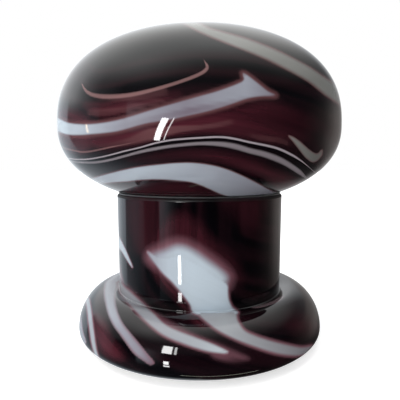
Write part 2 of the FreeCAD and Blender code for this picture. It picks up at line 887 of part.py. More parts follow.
# Lamp holder: cap, outer shell, porcelain insert and threaded shell

grubLevel = capLevel + size("cap_boss_length") / 2


def makeHolderCap():
    wall = size("cap_wall")
    body = turnedBody("holder_cap_blank", [
        (tubeFit, capLevel),
        (size("cap_boss_radius"), capLevel),
        (size("cap_boss_radius"), capBossTop),
        (size("cap_radius"), capSkirtLevel),
        (size("cap_radius"), insertLevel),
        (size("cap_radius") - wall, insertLevel),
        (size("cap_radius") - wall, capSkirtLevel + wall / 2),
        (size("cap_boss_radius") - wall / 2, capBossTop + wall),
        (tubeFit, capBossTop + wall),
    ])
    hole = cylinder("grub_screw_hole", size("grub_screw_radius") + size("thread_fit"), size("cap_radius"))
    layAlong(hole, FreeCAD.Vector(0, 1, 0), 90, (0, 0, grubLevel))
    return cut("drilled_holder_cap", body, hole)


keep("holder_cap", makeHolderCap())

grub = cylinder("grub_screw_blank", size("grub_screw_radius"), size("grub_screw_length"))
grubRecess = hexPrism("grub_screw_recess", size("grub_screw_radius"), size("grub_screw_radius"),
                      (0, 0, size("grub_screw_length") - size("grub_screw_radius")))
keep("cap_grub_screw", layAlong(cut("cap_grub_screw", grub, grubRecess), FreeCAD.Vector(0, 1, 0), 90,
                                (tubeFit, 0, grubLevel)))

shellLow = insertLevel - size("shell_overlap")
shellInner = size("cap_radius") + size("shell_gap")
shellStep = shellLow + size("shell_lower_height")
keep("holder_shell", turnedBody("holder_shell", [
    (shellInner, shellLow),
    (shellInner + size("shell_wall"), shellLow),
    (shellInner + size("shell_wall"), shellStep),
    (size("shell_upper_radius"), shellStep + size("shell_shoulder")),
    (size("shell_upper_radius"), shellStep + size("shell_upper_height")),
    (size("shell_bore_radius"), shellStep + size("shell_upper_height")),
    (size("shell_bore_radius"), insertTop),
    (shellInner, insertTop),
]))

rivetHole = size("rivet_radius") + size("thread_fit")


def makeInsert():
    body = turnedBody("socket_insert", [
        (0, insertLevel),
        (size("insert_radius"), insertLevel),
        (size("insert_radius"), insertTop),
        (0, insertTop),
    ])
    sketch = newSketch(body, "insert_rivet_holes", "XY_Plane")
    drawCircle(sketch, rivetHole, -size("leaf_rivet_reach"))
    drawCircle(sketch, rivetHole, size("shell_rivet_reach"))
    cutThrough(body, sketch, "insert_rivet_cut")
    return body


keep("socket_insert", makeInsert())


def threadRib(name, reach, turns, level):
    # one round rib of a rolled thread, winding about the axis at the given reach
    helix = document.addObject("Part::Helix", name + "_helix")
    bind(helix, "Pitch", size("thread_pitch"))
    bind(helix, "Height", size("thread_pitch") * turns)
    bind(helix, "Radius", reach)
    circle = document.addObject("Part::Circle", name + "_circle")
    bind(circle, "Radius", size("thread_rib_radius"))
    layAlong(circle, FreeCAD.Vector(1, 0, 0), 90, (reach, 0, 0))
    document.recompute()
    sweep = document.addObject("Part::Sweep", name)
    sweep.Sections = [circle]
    sweep.Spine = (helix, ["Edge%d" % (index + 1) for index in range(len(helix.Shape.Edges))])
    sweep.Solid = True
    sweep.Frenet = True
    bindPlace(sweep, (0, 0, level))
    return sweep


def makeScrewShell():
    bore = size("thread_crest_radius") + size("thread_gap")
    wall = size("screw_shell_wall")
    height = size("screw_shell_height")
    outside = cylinder("screw_shell_outside", bore + wall, height, (0, 0, insertTop))
    inside = cylinder("screw_shell_inside", bore, height, (0, 0, insertTop + wall))
    can = cut("screw_shell_can", outside, inside)
    # the rib stands in from the wall, half a pitch away from the bulb's rib
    ribReach = size("thread_root_radius") + size("thread_gap") + size("thread_rib_radius")
    rib = threadRib("screw_shell_rib", ribReach, size("screw_shell_turns"), insertTop + size("thread_pitch"))
    ribLimit = cylinder("screw_shell_rib_limit", bore + wall / 2, height, (0, 0, insertTop))
    trimmed = document.addObject("Part::Common", "screw_shell_trimmed_rib")
    trimmed.Base = rib
    trimmed.Tool = ribLimit
    hole = cylinder("screw_shell_hole", size("screw_shell_hole_radius"), height, (0, 0, insertTop))
    rivet = cylinder("screw_shell_rivet_hole", rivetHole, height, (size("shell_rivet_reach"), 0, insertTop))
    rolled = fuse("screw_shell_rolled", [can, trimmed])
    return cut("screw_shell", rolled, fuse("screw_shell_cuts", [hole, rivet]))


keep("screw_shell", makeScrewShell())


def makeLeaf():
    body = newBody("centre_contact")
    thick = size("leaf_thickness")
    top = insertTop + size("leaf_rise")
    sketch = newSketch(body, "leaf_outline", "XZ_Plane")
    drawOutline(sketch, [
        (-size("leaf_half_length"), insertTop),
        (-size("leaf_bend_reach"), insertTop),
        (-size("leaf_nose_reach"), top),
        (size("leaf_nose_reach"), top),
        (size("leaf_bend_reach"), top - thick * 2),
        (size("leaf_bend_reach"), top - thick),
        (size("leaf_nose_reach"), top + thick),
        (-size("leaf_nose_reach") - thick / 2, top + thick),
        (-size("leaf_bend_reach") - thick / 2, insertTop + thick),
        (-size("leaf_half_length"), insertTop + thick),
    ])
    pad = body.newObject("PartDesign::Pad", "leaf_pad")
    pad.Profile = sketch
    pad.SideType = "Symmetric"
    bind(pad, "Length", size("leaf_width"))
    hole = newSketch(body, "leaf_rivet_hole", "XY_Plane")
    drawCircle(hole, rivetHole, -size("leaf_rivet_reach"))
    cutThrough(body, hole, "leaf_rivet_cut")
    return body


keep("centre_contact", makeLeaf())

rivetSeat = insertTop + size("leaf_thickness")
rivets = []
blocks = []
blockScrews = []
for number, side in enumerate((-1, 1)):
    mark = "_%d" % (number + 1)
    reach = -size("leaf_rivet_reach") if side < 0 else size("shell_rivet_reach")
    shank = cylinder("rivet_shank" + mark, size("rivet_radius"), rivetSeat - insertLevel,
                     (reach, 0, insertLevel))
    head = cylinder("rivet_head" + mark, size("rivet_head_radius"), size("rivet_head_height"),
                    (reach, 0, rivetSeat))
    rivets.append(fuse("rivet" + mark, [shank, head]))
    middle = size("terminal_reach") * side
    blockLow = insertLevel - size("terminal_height")
    block = box("terminal_blank" + mark, size("terminal_length"), size("terminal_width"),
                size("terminal_height"),
                (middle - size("terminal_length") / 2, -size("terminal_width") / 2, blockLow))
    tap = cylinder("terminal_tap" + mark, size("terminal_screw_radius") + size("thread_fit"),
                   size("terminal_screw_depth") + size("overrun"), (middle, 0, blockLow))
    blocks.append(cut("terminal" + mark, block, tap))
    headHeight = size("terminal_screw_head_height")
    screwHead = cylinder("terminal_screw_head" + mark, size("terminal_screw_head_radius"), headHeight,
                         (middle, 0, blockLow - headHeight))
    screwShank = cylinder("terminal_screw_shank" + mark, size("terminal_screw_radius"),
                          size("terminal_screw_depth"), (middle, 0, blockLow))
    blockScrews.append(fuse("terminal_screw" + mark, [screwHead, screwShank]))
keep("contact_rivets", group("contact_rivets", rivets))
keep("terminal_blocks", group("terminal_blocks", blocks))
keep("terminal_screws", group("terminal_screws", blockScrews))


# Bulb

tipLevel = insulatorLevel - size("tip_gap") - size("tip_height")
tipFlatShare = 0.55
tipConeShare = 0.6
keep("bulb_tip", turnedBody("bulb_tip", [
    (0, tipLevel),
    (size("tip_radius") * tipFlatShare, tipLevel),
    (size("tip_radius"), tipLevel + size("tip_height") * tipConeShare),
    (size("tip_radius"), tipLevel + size("tip_height")),
    (0, tipLevel + size("tip_height")),
]))

collarRadius = size("thread_root_radius") - size("cap_metal") - size("insulator_gap")
keep("bulb_insulator", turnedBody("bulb_insulator", [
    (0, insulatorLevel),
    (size("insulator_low_radius"), insulatorLevel),
    (collarRadius, capThreadLevel),
    (collarRadius, capThreadLevel + size("insulator_collar")),
    (0, capThreadLevel + size("insulator_collar")),
]))


def makeBulbCap():
    root = size("thread_root_radius")
    metal = size("cap_metal")
    length = capRimLevel - capThreadLevel
    barrel = cylinder("bulb_cap_barrel", root, length, (0, 0, capThreadLevel))
    # half a turn stays plain at each end of the barrel
    rib = threadRib("bulb_cap_rib", size("thread_crest_radius") - size("thread_rib_radius"),
                    size("cap_thread_turns") - 1, capThreadLevel + size("thread_pitch") / 2)
    rim = cylinder("bulb_cap_rim", size("cap_rim_radius"), size("cap_rim_height"), (0, 0, capRimLevel))
    inner = cylinder("bulb_cap_hollow", root - metal, length + metal, (0, 0, capThreadLevel))
    rimBore = cylinder("bulb_cap_rim_bore", size("cap_rim_radius") - metal, size("cap_rim_height"),
                       (0, 0, capRimLevel + metal))
    blank = fuse("bulb_cap_blank", [barrel, rib, rim])
    return cut("bulb_cap", blank, fuse("bulb_cap_inside", [inner, rimBore]))


keep("bulb_cap", makeBulbCap())


def makeEnvelope():
    ball = float(size("envelope_radius"))
    glass = float(size("envelope_glass"))
    neck = float(size("envelope_neck_radius"))
    low = float(capRimTop - size("envelope_neck_depth"))
    top = float(capRimLevel + size("envelope_height"))
    rimTop = float(capRimTop)
    centre = top - ball

    quarterShares = [0.0, 0.25, 0.5, 0.75, 1.0]
    waistShares = [(0.14, 0.27), (0.42, 0.5), (0.72, 0.73), (0.94, 0.9)]

    def outline(inset):
        # the ball's upper half, then a waisted run down to the neck
        upper = []
        for share in quarterShares:
            angle = math.pi / 2 * share
            upper.append(((ball - inset) * math.cos(angle), centre + (ball - inset) * math.sin(angle)))
        lower = [(neck - inset, rimTop)]
        for acrossShare, riseShare in waistShares:
            across = neck - inset + (ball - neck) * acrossShare
            lower.append((across, rimTop + (centre - rimTop) * riseShare))
        lower.append((ball - inset, centre))
        return lower, upper

    outLower, outUpper = outline(0)
    inLower, inUpper = outline(glass)
    inLower.reverse()
    inUpper.reverse()
    edges = [
        lineEdge((neck - glass, low), (neck, low)),
        lineEdge((neck, low), outLower[0]),
        splineEdge(outLower, (0, 1), (0, 1)),
        splineEdge(outUpper, (0, 1), (-1, 0)),
        lineEdge(outUpper[-1], inUpper[0]),
        splineEdge(inUpper, (1, 0), (0, -1)),
        splineEdge(inLower, (0, -1), (0, -1)),
        lineEdge(inLower[-1], (neck - glass, low)),
    ]
    return turnedFeature("bulb_envelope", edges)


keep("bulb_envelope", makeEnvelope())

stemLow = capRimTop - size("envelope_neck_depth")
stemTop = stemLow + size("stem_height")
shoulderShare = 0.62
shoulderRiseShares = (0.3, 0.26)
pinchRiseShares = (0.55, 0.5)
pinchTopShare = 0.6
shoulder = size("stem_radius") * shoulderShare
keep("bulb_stem", turnedBody("bulb_stem", [
    (size("stem_radius") - size("stem_glass"), stemLow),
    (size("stem_radius"), stemLow),
    (shoulder, stemLow + size("stem_height") * shoulderRiseShares[0]),
    (size("stem_tube_radius"), stemLow + size("stem_height") * pinchRiseShares[0]),
    (size("stem_tube_radius"), stemTop),
    (0, stemTop),
    (0, stemLow + size("stem_height") * pinchTopShare),
    (size("stem_tube_radius") - size("stem_glass"), stemLow + size("stem_height") * pinchRiseShares[1]),
    (shoulder - size("stem_glass"), stemLow + size("stem_height") * shoulderRiseShares[1]),
]))

filamentLow = stemTop + size("support_wire_radius") * 2
filamentTop = filamentLow + size("filament_length")
firstFilamentDegrees = 45
spokes = []
filaments = []
for number in range(int(numbers["filament_count"])):
    mark = "_%d" % (number + 1)
    degrees = 360 * number / numbers["filament_count"] + firstFilamentDegrees
    for name, level in (("low_spoke", stemTop + size("support_wire_radius")),
                        ("high_spoke", filamentTop + size("support_wire_radius"))):
        spoke = cylinder(name + mark, size("support_wire_radius"), size("filament_low_reach"))
        direction = FreeCAD.Rotation(FreeCAD.Vector(0, 0, 1), degrees).multVec(FreeCAD.Vector(0, 1, 0))
        spokes.append(layAlong(spoke, direction, 90, (0, 0, level)))
    across = size("filament_low_reach") * math.cos(math.radians(degrees))
    depth = size("filament_low_reach") * math.sin(math.radians(degrees))
    filaments.append(cylinder("filament" + mark, size("filament_radius"), size("filament_length"),
                              (across, depth, filamentLow)))
mast = cylinder("support_mast", size("support_wire_radius"),
                filamentTop + size("support_wire_radius") - stemTop, (0, 0, stemTop))
keep("bulb_wires", fuse("bulb_wires", [mast] + spokes))
keep("bulb_filaments", group("bulb_filaments", filaments))

driverLevel = capThreadLevel + size("driver_rise")
board = cylinder("driver_board", size("driver_radius"), size("driver_thickness"), (0, 0, driverLevel))
capacitor = cylinder("driver_capacitor", size("capacitor_radius"), size("capacitor_height"),
                     (0, 0, driverLevel + size("driver_thickness")))
keep("bulb_driver", fuse("bulb_driver", [board, capacitor]))


# Rubber bush in the cord's hole

def footInnerReach(level):
    # the foot's inner face at a level above its widest place
    span = size("foot_radius") - size("foot_crown_radius") - size("foot_wall")
    rise = size("foot_crown_level") - size("foot_wall") - size("foot_widest_level")
    riseShare = (level - size("foot_widest_level")) / rise
    return size("foot_crown_radius") + span * (1 - riseShare ** footTopRoundness) ** (1 / footTopRoundness)


innerFlangeTop = size("inlet_level") + size("grommet_inner_flange_radius")
grooveLength = size("foot_radius") - footInnerReach(innerFlangeTop) + size("grommet_gap")
grommet = turnedBody("cord_grommet", [
    (size("grommet_bore_radius"), -grooveLength - size("grommet_flange_thickness")),
    (size("grommet_inner_flange_radius"), -grooveLength - size("grommet_flange_thickness")),
    (size("grommet_inner_flange_radius"), -grooveLength),
    (size("grommet_body_radius"), -grooveLength),
    (size("grommet_body_radius"), 0),
    (size("grommet_outer_flange_radius"), 0),
    (size("grommet_outer_flange_radius"), size("grommet_flange_thickness")),
    (size("grommet_bore_radius"), size("grommet_flange_thickness")),
])
layAlong(grommet, FreeCAD.Vector(1, 0, 0), -90, (0, size("foot_radius"), size("inlet_level")))
keep("cord_grommet", grommet)


# Check every object, then write one file for each node

document.recompute()
for thing in document.Objects:
    if "Invalid" in thing.State or "Error" in thing.State:
        raise RuntimeError("%s did not build: %s" % (thing.Name, thing.State))
for name, thing in nodes.items():
    if thing.Shape.isNull() or not thing.Shape.isValid() or thing.Shape.Volume <= 0:
        raise RuntimeError("%s has no valid solid" % name)

os.makedirs("parts", exist_ok=True)
for name, thing in nodes.items():
    thing.Shape.exportStep("parts/%s.step" % name)
    bounds = thing.Shape.BoundBox
    found = (name, len(thing.Shape.Solids), bounds.ZMin, bounds.ZMax, thing.Shape.Volume)
    print("%-18s solids %d  z %.2f to %.2f  volume %.0f" % found)
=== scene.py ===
import math

import bmesh
import bpy
import numpy as np
from mathutils import Matrix, Vector
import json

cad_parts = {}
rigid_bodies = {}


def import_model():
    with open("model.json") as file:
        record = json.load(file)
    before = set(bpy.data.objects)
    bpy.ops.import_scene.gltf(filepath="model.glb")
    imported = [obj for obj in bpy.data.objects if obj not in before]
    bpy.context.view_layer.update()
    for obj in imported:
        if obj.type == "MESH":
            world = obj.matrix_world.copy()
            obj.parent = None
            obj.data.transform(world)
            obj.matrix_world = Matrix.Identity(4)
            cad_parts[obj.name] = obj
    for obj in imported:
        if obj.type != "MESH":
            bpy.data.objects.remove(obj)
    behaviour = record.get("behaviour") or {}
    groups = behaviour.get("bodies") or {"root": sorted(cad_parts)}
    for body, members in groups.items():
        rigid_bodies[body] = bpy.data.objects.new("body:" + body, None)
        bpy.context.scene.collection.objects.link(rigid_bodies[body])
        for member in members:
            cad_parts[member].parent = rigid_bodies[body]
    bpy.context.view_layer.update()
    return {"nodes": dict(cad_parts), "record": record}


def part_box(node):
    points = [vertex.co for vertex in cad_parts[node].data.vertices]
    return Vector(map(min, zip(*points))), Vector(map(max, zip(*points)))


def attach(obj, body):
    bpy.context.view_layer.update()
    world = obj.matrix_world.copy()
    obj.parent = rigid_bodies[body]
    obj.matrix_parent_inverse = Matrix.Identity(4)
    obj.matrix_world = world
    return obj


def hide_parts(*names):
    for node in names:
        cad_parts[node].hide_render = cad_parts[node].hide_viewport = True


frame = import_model()
nodes = frame["nodes"]
print("frame loaded:", len(nodes), "nodes")


# Camera, at the photograph's viewing angle

cameraView = {
    "place": (0.0004, -0.3283, 0.1363),
    "pitch": 4.432,  # degrees below the horizon, looking along +Y
    "lens": 35.57,
    "sensor": 36.0,
    "photoSize": 400,
}


def makeCamera():
    data = bpy.data.cameras.new("photoCamera")
    data.lens = cameraView["lens"]
    data.sensor_width = cameraView["sensor"]
    camera = bpy.data.objects.new("photoCamera", data)
    camera.location = cameraView["place"]
    camera.rotation_euler = (math.radians(90 - cameraView["pitch"]), 0, 0)
    bpy.context.scene.collection.objects.link(camera)
    bpy.context.scene.camera = camera


def photoPoint(x, y, z):
    # where a point of the object falls in the photograph, in pixels
    placeX, placeY, placeZ = cameraView["place"]
    pitch = math.radians(cameraView["pitch"])
    focal = cameraView["photoSize"] * cameraView["lens"] / cameraView["sensor"]
    along, rise = y - placeY, z - placeZ
    depth = along * math.cos(pitch) - rise * math.sin(pitch)
    up = along * math.sin(pitch) + rise * math.cos(pitch)
    middle = cameraView["photoSize"] / 2
    return middle + focal * (x - placeX) / depth, middle - focal * up / depth


makeCamera()


# Outlines of the two glass pieces: points are (radius, height) in metres

shadeLow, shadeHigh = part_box("glass_shade")
baseLow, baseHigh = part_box("glass_base")
ringLow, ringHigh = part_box("seat_ring")
inletLow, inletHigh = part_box("cord_grommet")

shadeGlass = {
    "reach": shadeHigh.x,
    "top": shadeHigh.z,
    "neckLow": shadeLow.z,
    "seatLevel": ringHigh.z + 0.0003,
    "widestLevel": 0.1676,
    "underRise": 0.0585,
    "wall": 0.005,
    "neckRadius": 0.0595,
    "neckWall": 0.0045,
    "neckRound": 0.0016,
    "crownRoundness": 2.45,
    "underRoundness": 2.2,
    "turns": 384,
    "rows": {"under": 84, "crown": 96, "insideCrown": 24, "insideUnder": 18},
}

baseGlass = {
    "columnRadius": 0.067,
    "waistRadius": 0.0663,
    "columnWall": 0.0057,
    "rimLevel": baseHigh.z,
    "rimRound": 0.0015,
    "creaseLevel": 0.0393,
    "footRadius": baseHigh.x,
    "footWidestLevel": 0.0139,
    "footCrownRadius": 0.076,
    "footCrownLevel": 0.042,
    "footWall": 0.0055,
    "groundLevel": baseLow.z,
    "groundOuter": 0.084,
    "groundInner": 0.077,
    "groundRound": 0.0014,
    "topRoundness": 1.87,
    "bottomRoundness": 2.4,
    "valleyShares": ((0.25, 0.08), (0.55, 0.36), (0.8, 0.72), (1.0, 1.0)),
    "bendShares": ((0.03, 0.42), (0.12, 0.12), (0.3, -0.08), (0.6, -0.06)),
    "groundAbove": 0.1144,  # the rim is ground matt from here up
    "inletRadius": 0.0045,
    "inletDepth": 0.0182,
    "inletSides": 48,
    "inletLevel": (inletLow.z + inletHigh.z) / 2,
    "turns": 384,
    "rows": {"lower": 24, "upper": 34, "valley": 14, "column": 64, "bore": 20, "bend": 10, "inside": 14},
}


def quarter(centreRadius, centreLevel, reach, rise, roundness, stop=1.0, steps=399):
    # a superellipse from its widest point towards its level point
    angle = np.linspace(0, stop, steps + 1) * math.pi / 2
    across = np.maximum(np.cos(angle), 0) ** (2 / roundness)
    along = np.maximum(np.sin(angle), 0) ** (2 / roundness)
    return np.column_stack([centreRadius + reach * across, centreLevel + rise * along])


def evenly(points, count):
    # the same line with evenly spaced points
    points = np.asarray(points, float)
    steps = np.hypot(*np.diff(points, axis=0).T)
    travelled = np.concatenate([[0], np.cumsum(steps)])
    wanted = np.linspace(0, travelled[-1], count + 1)
    return np.column_stack([np.interp(wanted, travelled, points[:, k]) for k in range(2)])


def smoothThrough(points, firstSlope=None, lastSlope=None, steps=12):
    # a curve through the points, with given directions at its ends
    points = np.asarray(points, float)
    slopes = np.gradient(points, axis=0)
    for place, slope in ((0, firstSlope), (-1, lastSlope)):
        if slope is not None:
            side = points[1] - points[0] if place == 0 else points[-1] - points[-2]
            slope = np.asarray(slope, float)
            slopes[place] = slope / np.hypot(*slope) * np.hypot(*side)
    line = [points[:1]]
    t = np.linspace(0, 1, steps + 1)[1:, None]
    for a, b, slopeA, slopeB in zip(points[:-1], points[1:], slopes[:-1], slopes[1:]):
        line.append((2 * t**3 - 3 * t**2 + 1) * a + (t**3 - 2 * t**2 + t) * slopeA
                    + (3 * t**2 - 2 * t**3) * b + (t**3 - t**2) * slopeB)
    return np.vstack(line)


def roundCorner(start, corner, end, steps=5):
    start, corner, end = (np.asarray(p, float) for p in (start, corner, end))
    angle = np.linspace(0, math.pi / 2, steps + 1)[:, None]
    return corner + (start - corner) * (1 - np.sin(angle)) + (end - corner) * (1 - np.cos(angle))


def joined(lines):
    # one line from several that follow each other
    points = [np.asarray(lines[0], float)]
    for line in lines[1:]:
        line = np.asarray(line, float)
        same = np.hypot(*(line[0] - points[-1][-1])) < 1e-7
        points.append(line[1:] if same else line)
    return np.vstack(points)


def shadeOutline():
    s = shadeGlass
    under, crown = s["underRise"], s["top"] - s["widestLevel"]
    seatShare = (s["widestLevel"] - s["seatLevel"]) / under
    seatRadius = s["reach"] * (1 - seatShare ** s["underRoundness"]) ** (1 / s["underRoundness"])

    def half(inset, fromRadius):
        reach = s["reach"] - inset
        stop = math.acos((fromRadius / reach) ** (s["underRoundness"] / 2)) / (math.pi / 2)
        below = quarter(0, s["widestLevel"], reach, inset - under, s["underRoundness"], stop)
        above = quarter(0, s["widestLevel"], reach, crown - inset, s["crownRoundness"])
        return below[::-1], above

    outBelow, outAbove = half(0, seatRadius)
    bore = s["neckRadius"] - s["neckWall"]
    corner = s["neckRound"]
    inBelow, inAbove = half(s["wall"], bore + corner)
    mouthTop = inBelow[0]
    slopeIn = inBelow[0] - inBelow[1]
    neckTop = (bore, mouthTop[1] - 2 * corner)
    neck, low, seat = s["neckRadius"], s["neckLow"], s["seatLevel"]
    rows = s["rows"]
    return joined([
        evenly(outAbove[::-1], rows["crown"]),
        evenly(outBelow[::-1], rows["under"]),
        evenly([(seatRadius, seat), (neck + corner, seat)], 3),
        roundCorner((neck + corner, seat), (neck, seat), (neck, seat - corner)),
        evenly([(neck, seat - corner), (neck, low + corner)], 4),
        roundCorner((neck, low + corner), (neck, low), (neck - corner, low)),
        roundCorner((bore + corner, low), (bore, low), (bore, low + corner)),
        evenly([(bore, low + corner), neckTop], 4),
        smoothThrough([neckTop, mouthTop], (0, 1), -slopeIn, 4),
        evenly(inBelow, rows["insideUnder"]),
        evenly(inAbove, rows["insideCrown"]),
    ])


def baseOutline():
    s = baseGlass
    rows = s["rows"]
    crownR, crownZ = s["footCrownRadius"], s["footCrownLevel"]
    widest, foot, wall = s["footWidestLevel"], s["footRadius"], s["footWall"]
    ground, groundOut, groundIn = s["groundLevel"], s["groundOuter"], s["groundInner"]
    lowerOut = quarter(groundOut, widest, foot - groundOut, ground - widest, s["bottomRoundness"])
    upperOut = quarter(crownR, widest, foot - crownR, crownZ - widest, s["topRoundness"])
    lowerIn = quarter(groundOut, widest, foot - groundOut - wall, ground + wall - widest,
                      s["bottomRoundness"])
    upperIn = quarter(crownR, widest, foot - crownR - wall, crownZ - wall - widest, s["topRoundness"])
    valleySpan = crownR - s["waistRadius"]
    valleyDrop = crownZ - s["creaseLevel"]
    valley = [(crownR, crownZ)]
    valley += [(crownR - valleySpan * across, crownZ - valleyDrop * drop)
               for across, drop in s["valleyShares"]]
    boreLow = s["waistRadius"] - s["columnWall"]
    bendTop, roof = s["creaseLevel"] + s["columnWall"], crownZ - wall
    bend = [(boreLow, bendTop)]
    bend += [(boreLow + (crownR - boreLow) * across, roof + (bendTop - roof) * rise)
             for across, rise in s["bendShares"]]
    bend.append((crownR, roof))
    column, rim, corner = s["columnRadius"], s["rimLevel"], s["rimRound"]
    bore = column - s["columnWall"]
    innerTop, edge = ground + wall, s["groundRound"]
    return joined([
        evenly([(groundIn, ground), (groundOut, ground)], 4),
        evenly(lowerOut[::-1], rows["lower"]),
        evenly(upperOut, rows["upper"]),
        evenly(smoothThrough(valley, (-1, 0), (-1, -0.8)), rows["valley"]),
        evenly([valley[-1], (column, rim - corner)], rows["column"]),
        roundCorner((column, rim - corner), (column, rim), (column - corner, rim)),
        roundCorner((bore + corner, rim), (bore, rim), (bore, rim - corner)),
        evenly([(bore, rim - corner), bend[0]], rows["bore"]),
        evenly(smoothThrough(bend, (0, -1), (1, 0)), rows["bend"]),
        evenly(upperIn[::-1], rows["inside"]),
        evenly(lowerIn, rows["inside"]),
        evenly([(groundOut, innerTop), (groundIn + edge, innerTop)], 3),
        roundCorner((groundIn + edge, innerTop), (groundIn, innerTop), (groundIn, innerTop - edge)),
        evenly([(groundIn, innerTop - edge), (groundIn, ground)], 3),
    ])


# Nodes

def link(tree, source, target):
    tree.links.new(source, target)


def shaderNode(tree, kind, **settings):
    node = tree.nodes.new(kind)
    for name, value in settings.items():
        setattr(node, name, value)
    return node


def setSocket(tree, socket, value):
    if isinstance(value, bpy.types.NodeSocket):
        tree.links.new(value, socket)
    elif isinstance(value, tuple) and len(value) == 3 and socket.type == "RGBA":
        socket.default_value = (*value, 1)
    else:
        socket.default_value = value


def calculate(tree, operation, *values, clamp=False):
    node = shaderNode(tree, "ShaderNodeMath", operation=operation, use_clamp=clamp)
    for socket, value in zip(node.inputs, values):
        setSocket(tree, socket, value)
    return node.outputs[0]


# Turning an outline into glass: a Geometry Nodes tree wraps a grid of rows and turns round the axis

def makeTurningTree():
    tree = bpy.data.node_groups.new("turnedGlass", "GeometryNodeTree")
    for label, way, kind in (("Outline", "INPUT", "Geometry"), ("Turns", "INPUT", "Int"),
                             ("Merge distance", "INPUT", "Float"), ("Glass", "INPUT", "Material"),
                             ("Piece", "OUTPUT", "Geometry")):
        tree.interface.new_socket(label, in_out=way, socket_type="NodeSocket" + kind)
    new = tree.nodes.new
    given, made = new("NodeGroupInput"), new("NodeGroupOutput")
    count = new("GeometryNodeAttributeDomainSize")
    link(tree, given.outputs["Outline"], count.inputs[0])
    columns = calculate(tree, "ADD", given.outputs["Turns"], 1)
    grid = new("GeometryNodeMeshGrid")
    link(tree, count.outputs["Point Count"], grid.inputs["Vertices X"])
    link(tree, columns, grid.inputs["Vertices Y"])
    index = new("GeometryNodeInputIndex").outputs[0]
    row = calculate(tree, "DIVIDE", calculate(tree, "ADD", index, 0.5), columns)
    row = calculate(tree, "FLOOR", row)
    turn = calculate(tree, "SUBTRACT", index, calculate(tree, "MULTIPLY", row, columns))
    share = calculate(tree, "DIVIDE", turn, given.outputs["Turns"])
    angle = calculate(tree, "MULTIPLY", share, 2 * math.pi)
    sample = new("GeometryNodeSampleIndex")
    sample.data_type = "FLOAT_VECTOR"
    link(tree, given.outputs["Outline"], sample.inputs["Geometry"])
    link(tree, new("GeometryNodeInputPosition").outputs[0], sample.inputs["Value"])
    link(tree, row, sample.inputs["Index"])
    point = new("ShaderNodeSeparateXYZ")
    link(tree, sample.outputs["Value"], point.inputs[0])
    placed = new("ShaderNodeCombineXYZ")
    radius = point.outputs["X"]
    for axis, wave in (("X", "COSINE"), ("Y", "SINE")):
        link(tree, calculate(tree, "MULTIPLY", radius, calculate(tree, wave, angle)), placed.inputs[axis])
    link(tree, point.outputs["Z"], placed.inputs["Z"])
    shape = new("GeometryNodeSetPosition")
    link(tree, grid.outputs["Mesh"], shape.inputs["Geometry"])
    link(tree, placed.outputs[0], shape.inputs["Position"])
    merged = new("GeometryNodeMergeByDistance")
    link(tree, shape.outputs[0], merged.inputs["Geometry"])
    link(tree, given.outputs["Merge distance"], merged.inputs["Distance"])
    smooth = new("GeometryNodeSetShadeSmooth")
    link(tree, merged.outputs[0], smooth.inputs["Geometry"])
    real = new("GeometryNodeRealizeInstances")
    link(tree, smooth.outputs[0], real.inputs[0])
    finish = new("GeometryNodeSetMaterial")
    link(tree, real.outputs[0], finish.inputs["Geometry"])
    link(tree, given.outputs["Glass"], finish.inputs["Material"])
    link(tree, finish.outputs[0], made.inputs[0])
    return tree


def setInput(modifier, tree, name, value):
    # a modifier's input goes by the socket's identifier
    for item in tree.interface.items_tree:
        if item.name == name and item.in_out == "INPUT":
            modifier[item.identifier] = value


def plainMesh(thing, name):
    # the evaluated shape as a mesh of its own
    view = bpy.context.evaluated_depsgraph_get()
    mesh = bpy.data.meshes.new_from_object(thing.evaluated_get(view))
    mesh.name = name
    return mesh


def newObject(name, mesh):
    thing = bpy.data.objects.new(name, mesh)
    bpy.context.scene.collection.objects.link(thing)
    return thing


turningTree = makeTurningTree()
mergeDistance = 2e-6


def turnGlass(name, outline, turns, material):
    # the outline lies in X and Z, and the tree turns it round Z
    line = bpy.data.meshes.new(name + "Outline")
    places = [(r, 0, z) for r, z in outline]
    line.from_pydata(places, [(k, k + 1) for k in range(len(places) - 1)], [])
    thing = newObject(name, line)
    modifier = thing.modifiers.new("turned", "NODES")
    modifier.node_group = turningTree
    for label, value in (("Turns", turns), ("Merge distance", mergeDistance), ("Glass", material)):
        setInput(modifier, turningTree, label, value)
    mesh = plainMesh(thing, name)
    thing.modifiers.clear()
    thing.data = mesh
    return thing


def faceOutwards(mesh):
    shape = bmesh.new()
    shape.from_mesh(mesh)
    bmesh.ops.recalc_face_normals(shape, faces=shape.faces)
    shape.to_mesh(mesh)
    shape.free()
    mesh.update()


def vertexPlaces(mesh):
    places = np.empty(len(mesh.vertices) * 3, np.float32)
    mesh.vertices.foreach_get("co", places)
    return places.reshape(-1, 3).astype(float)


def storeValues(mesh, name, values):
    attribute = mesh.attributes.new(name, "FLOAT", "POINT")
    attribute.data.foreach_set("value", np.asarray(values, np.float32))


# White streaks in the glass. Each outline is a closed line of photograph pixels; fade is how softly its edge
# ends, halo how far the mauve reaches past it, white its strength at even steps from left to right, and blue
# its coolness.

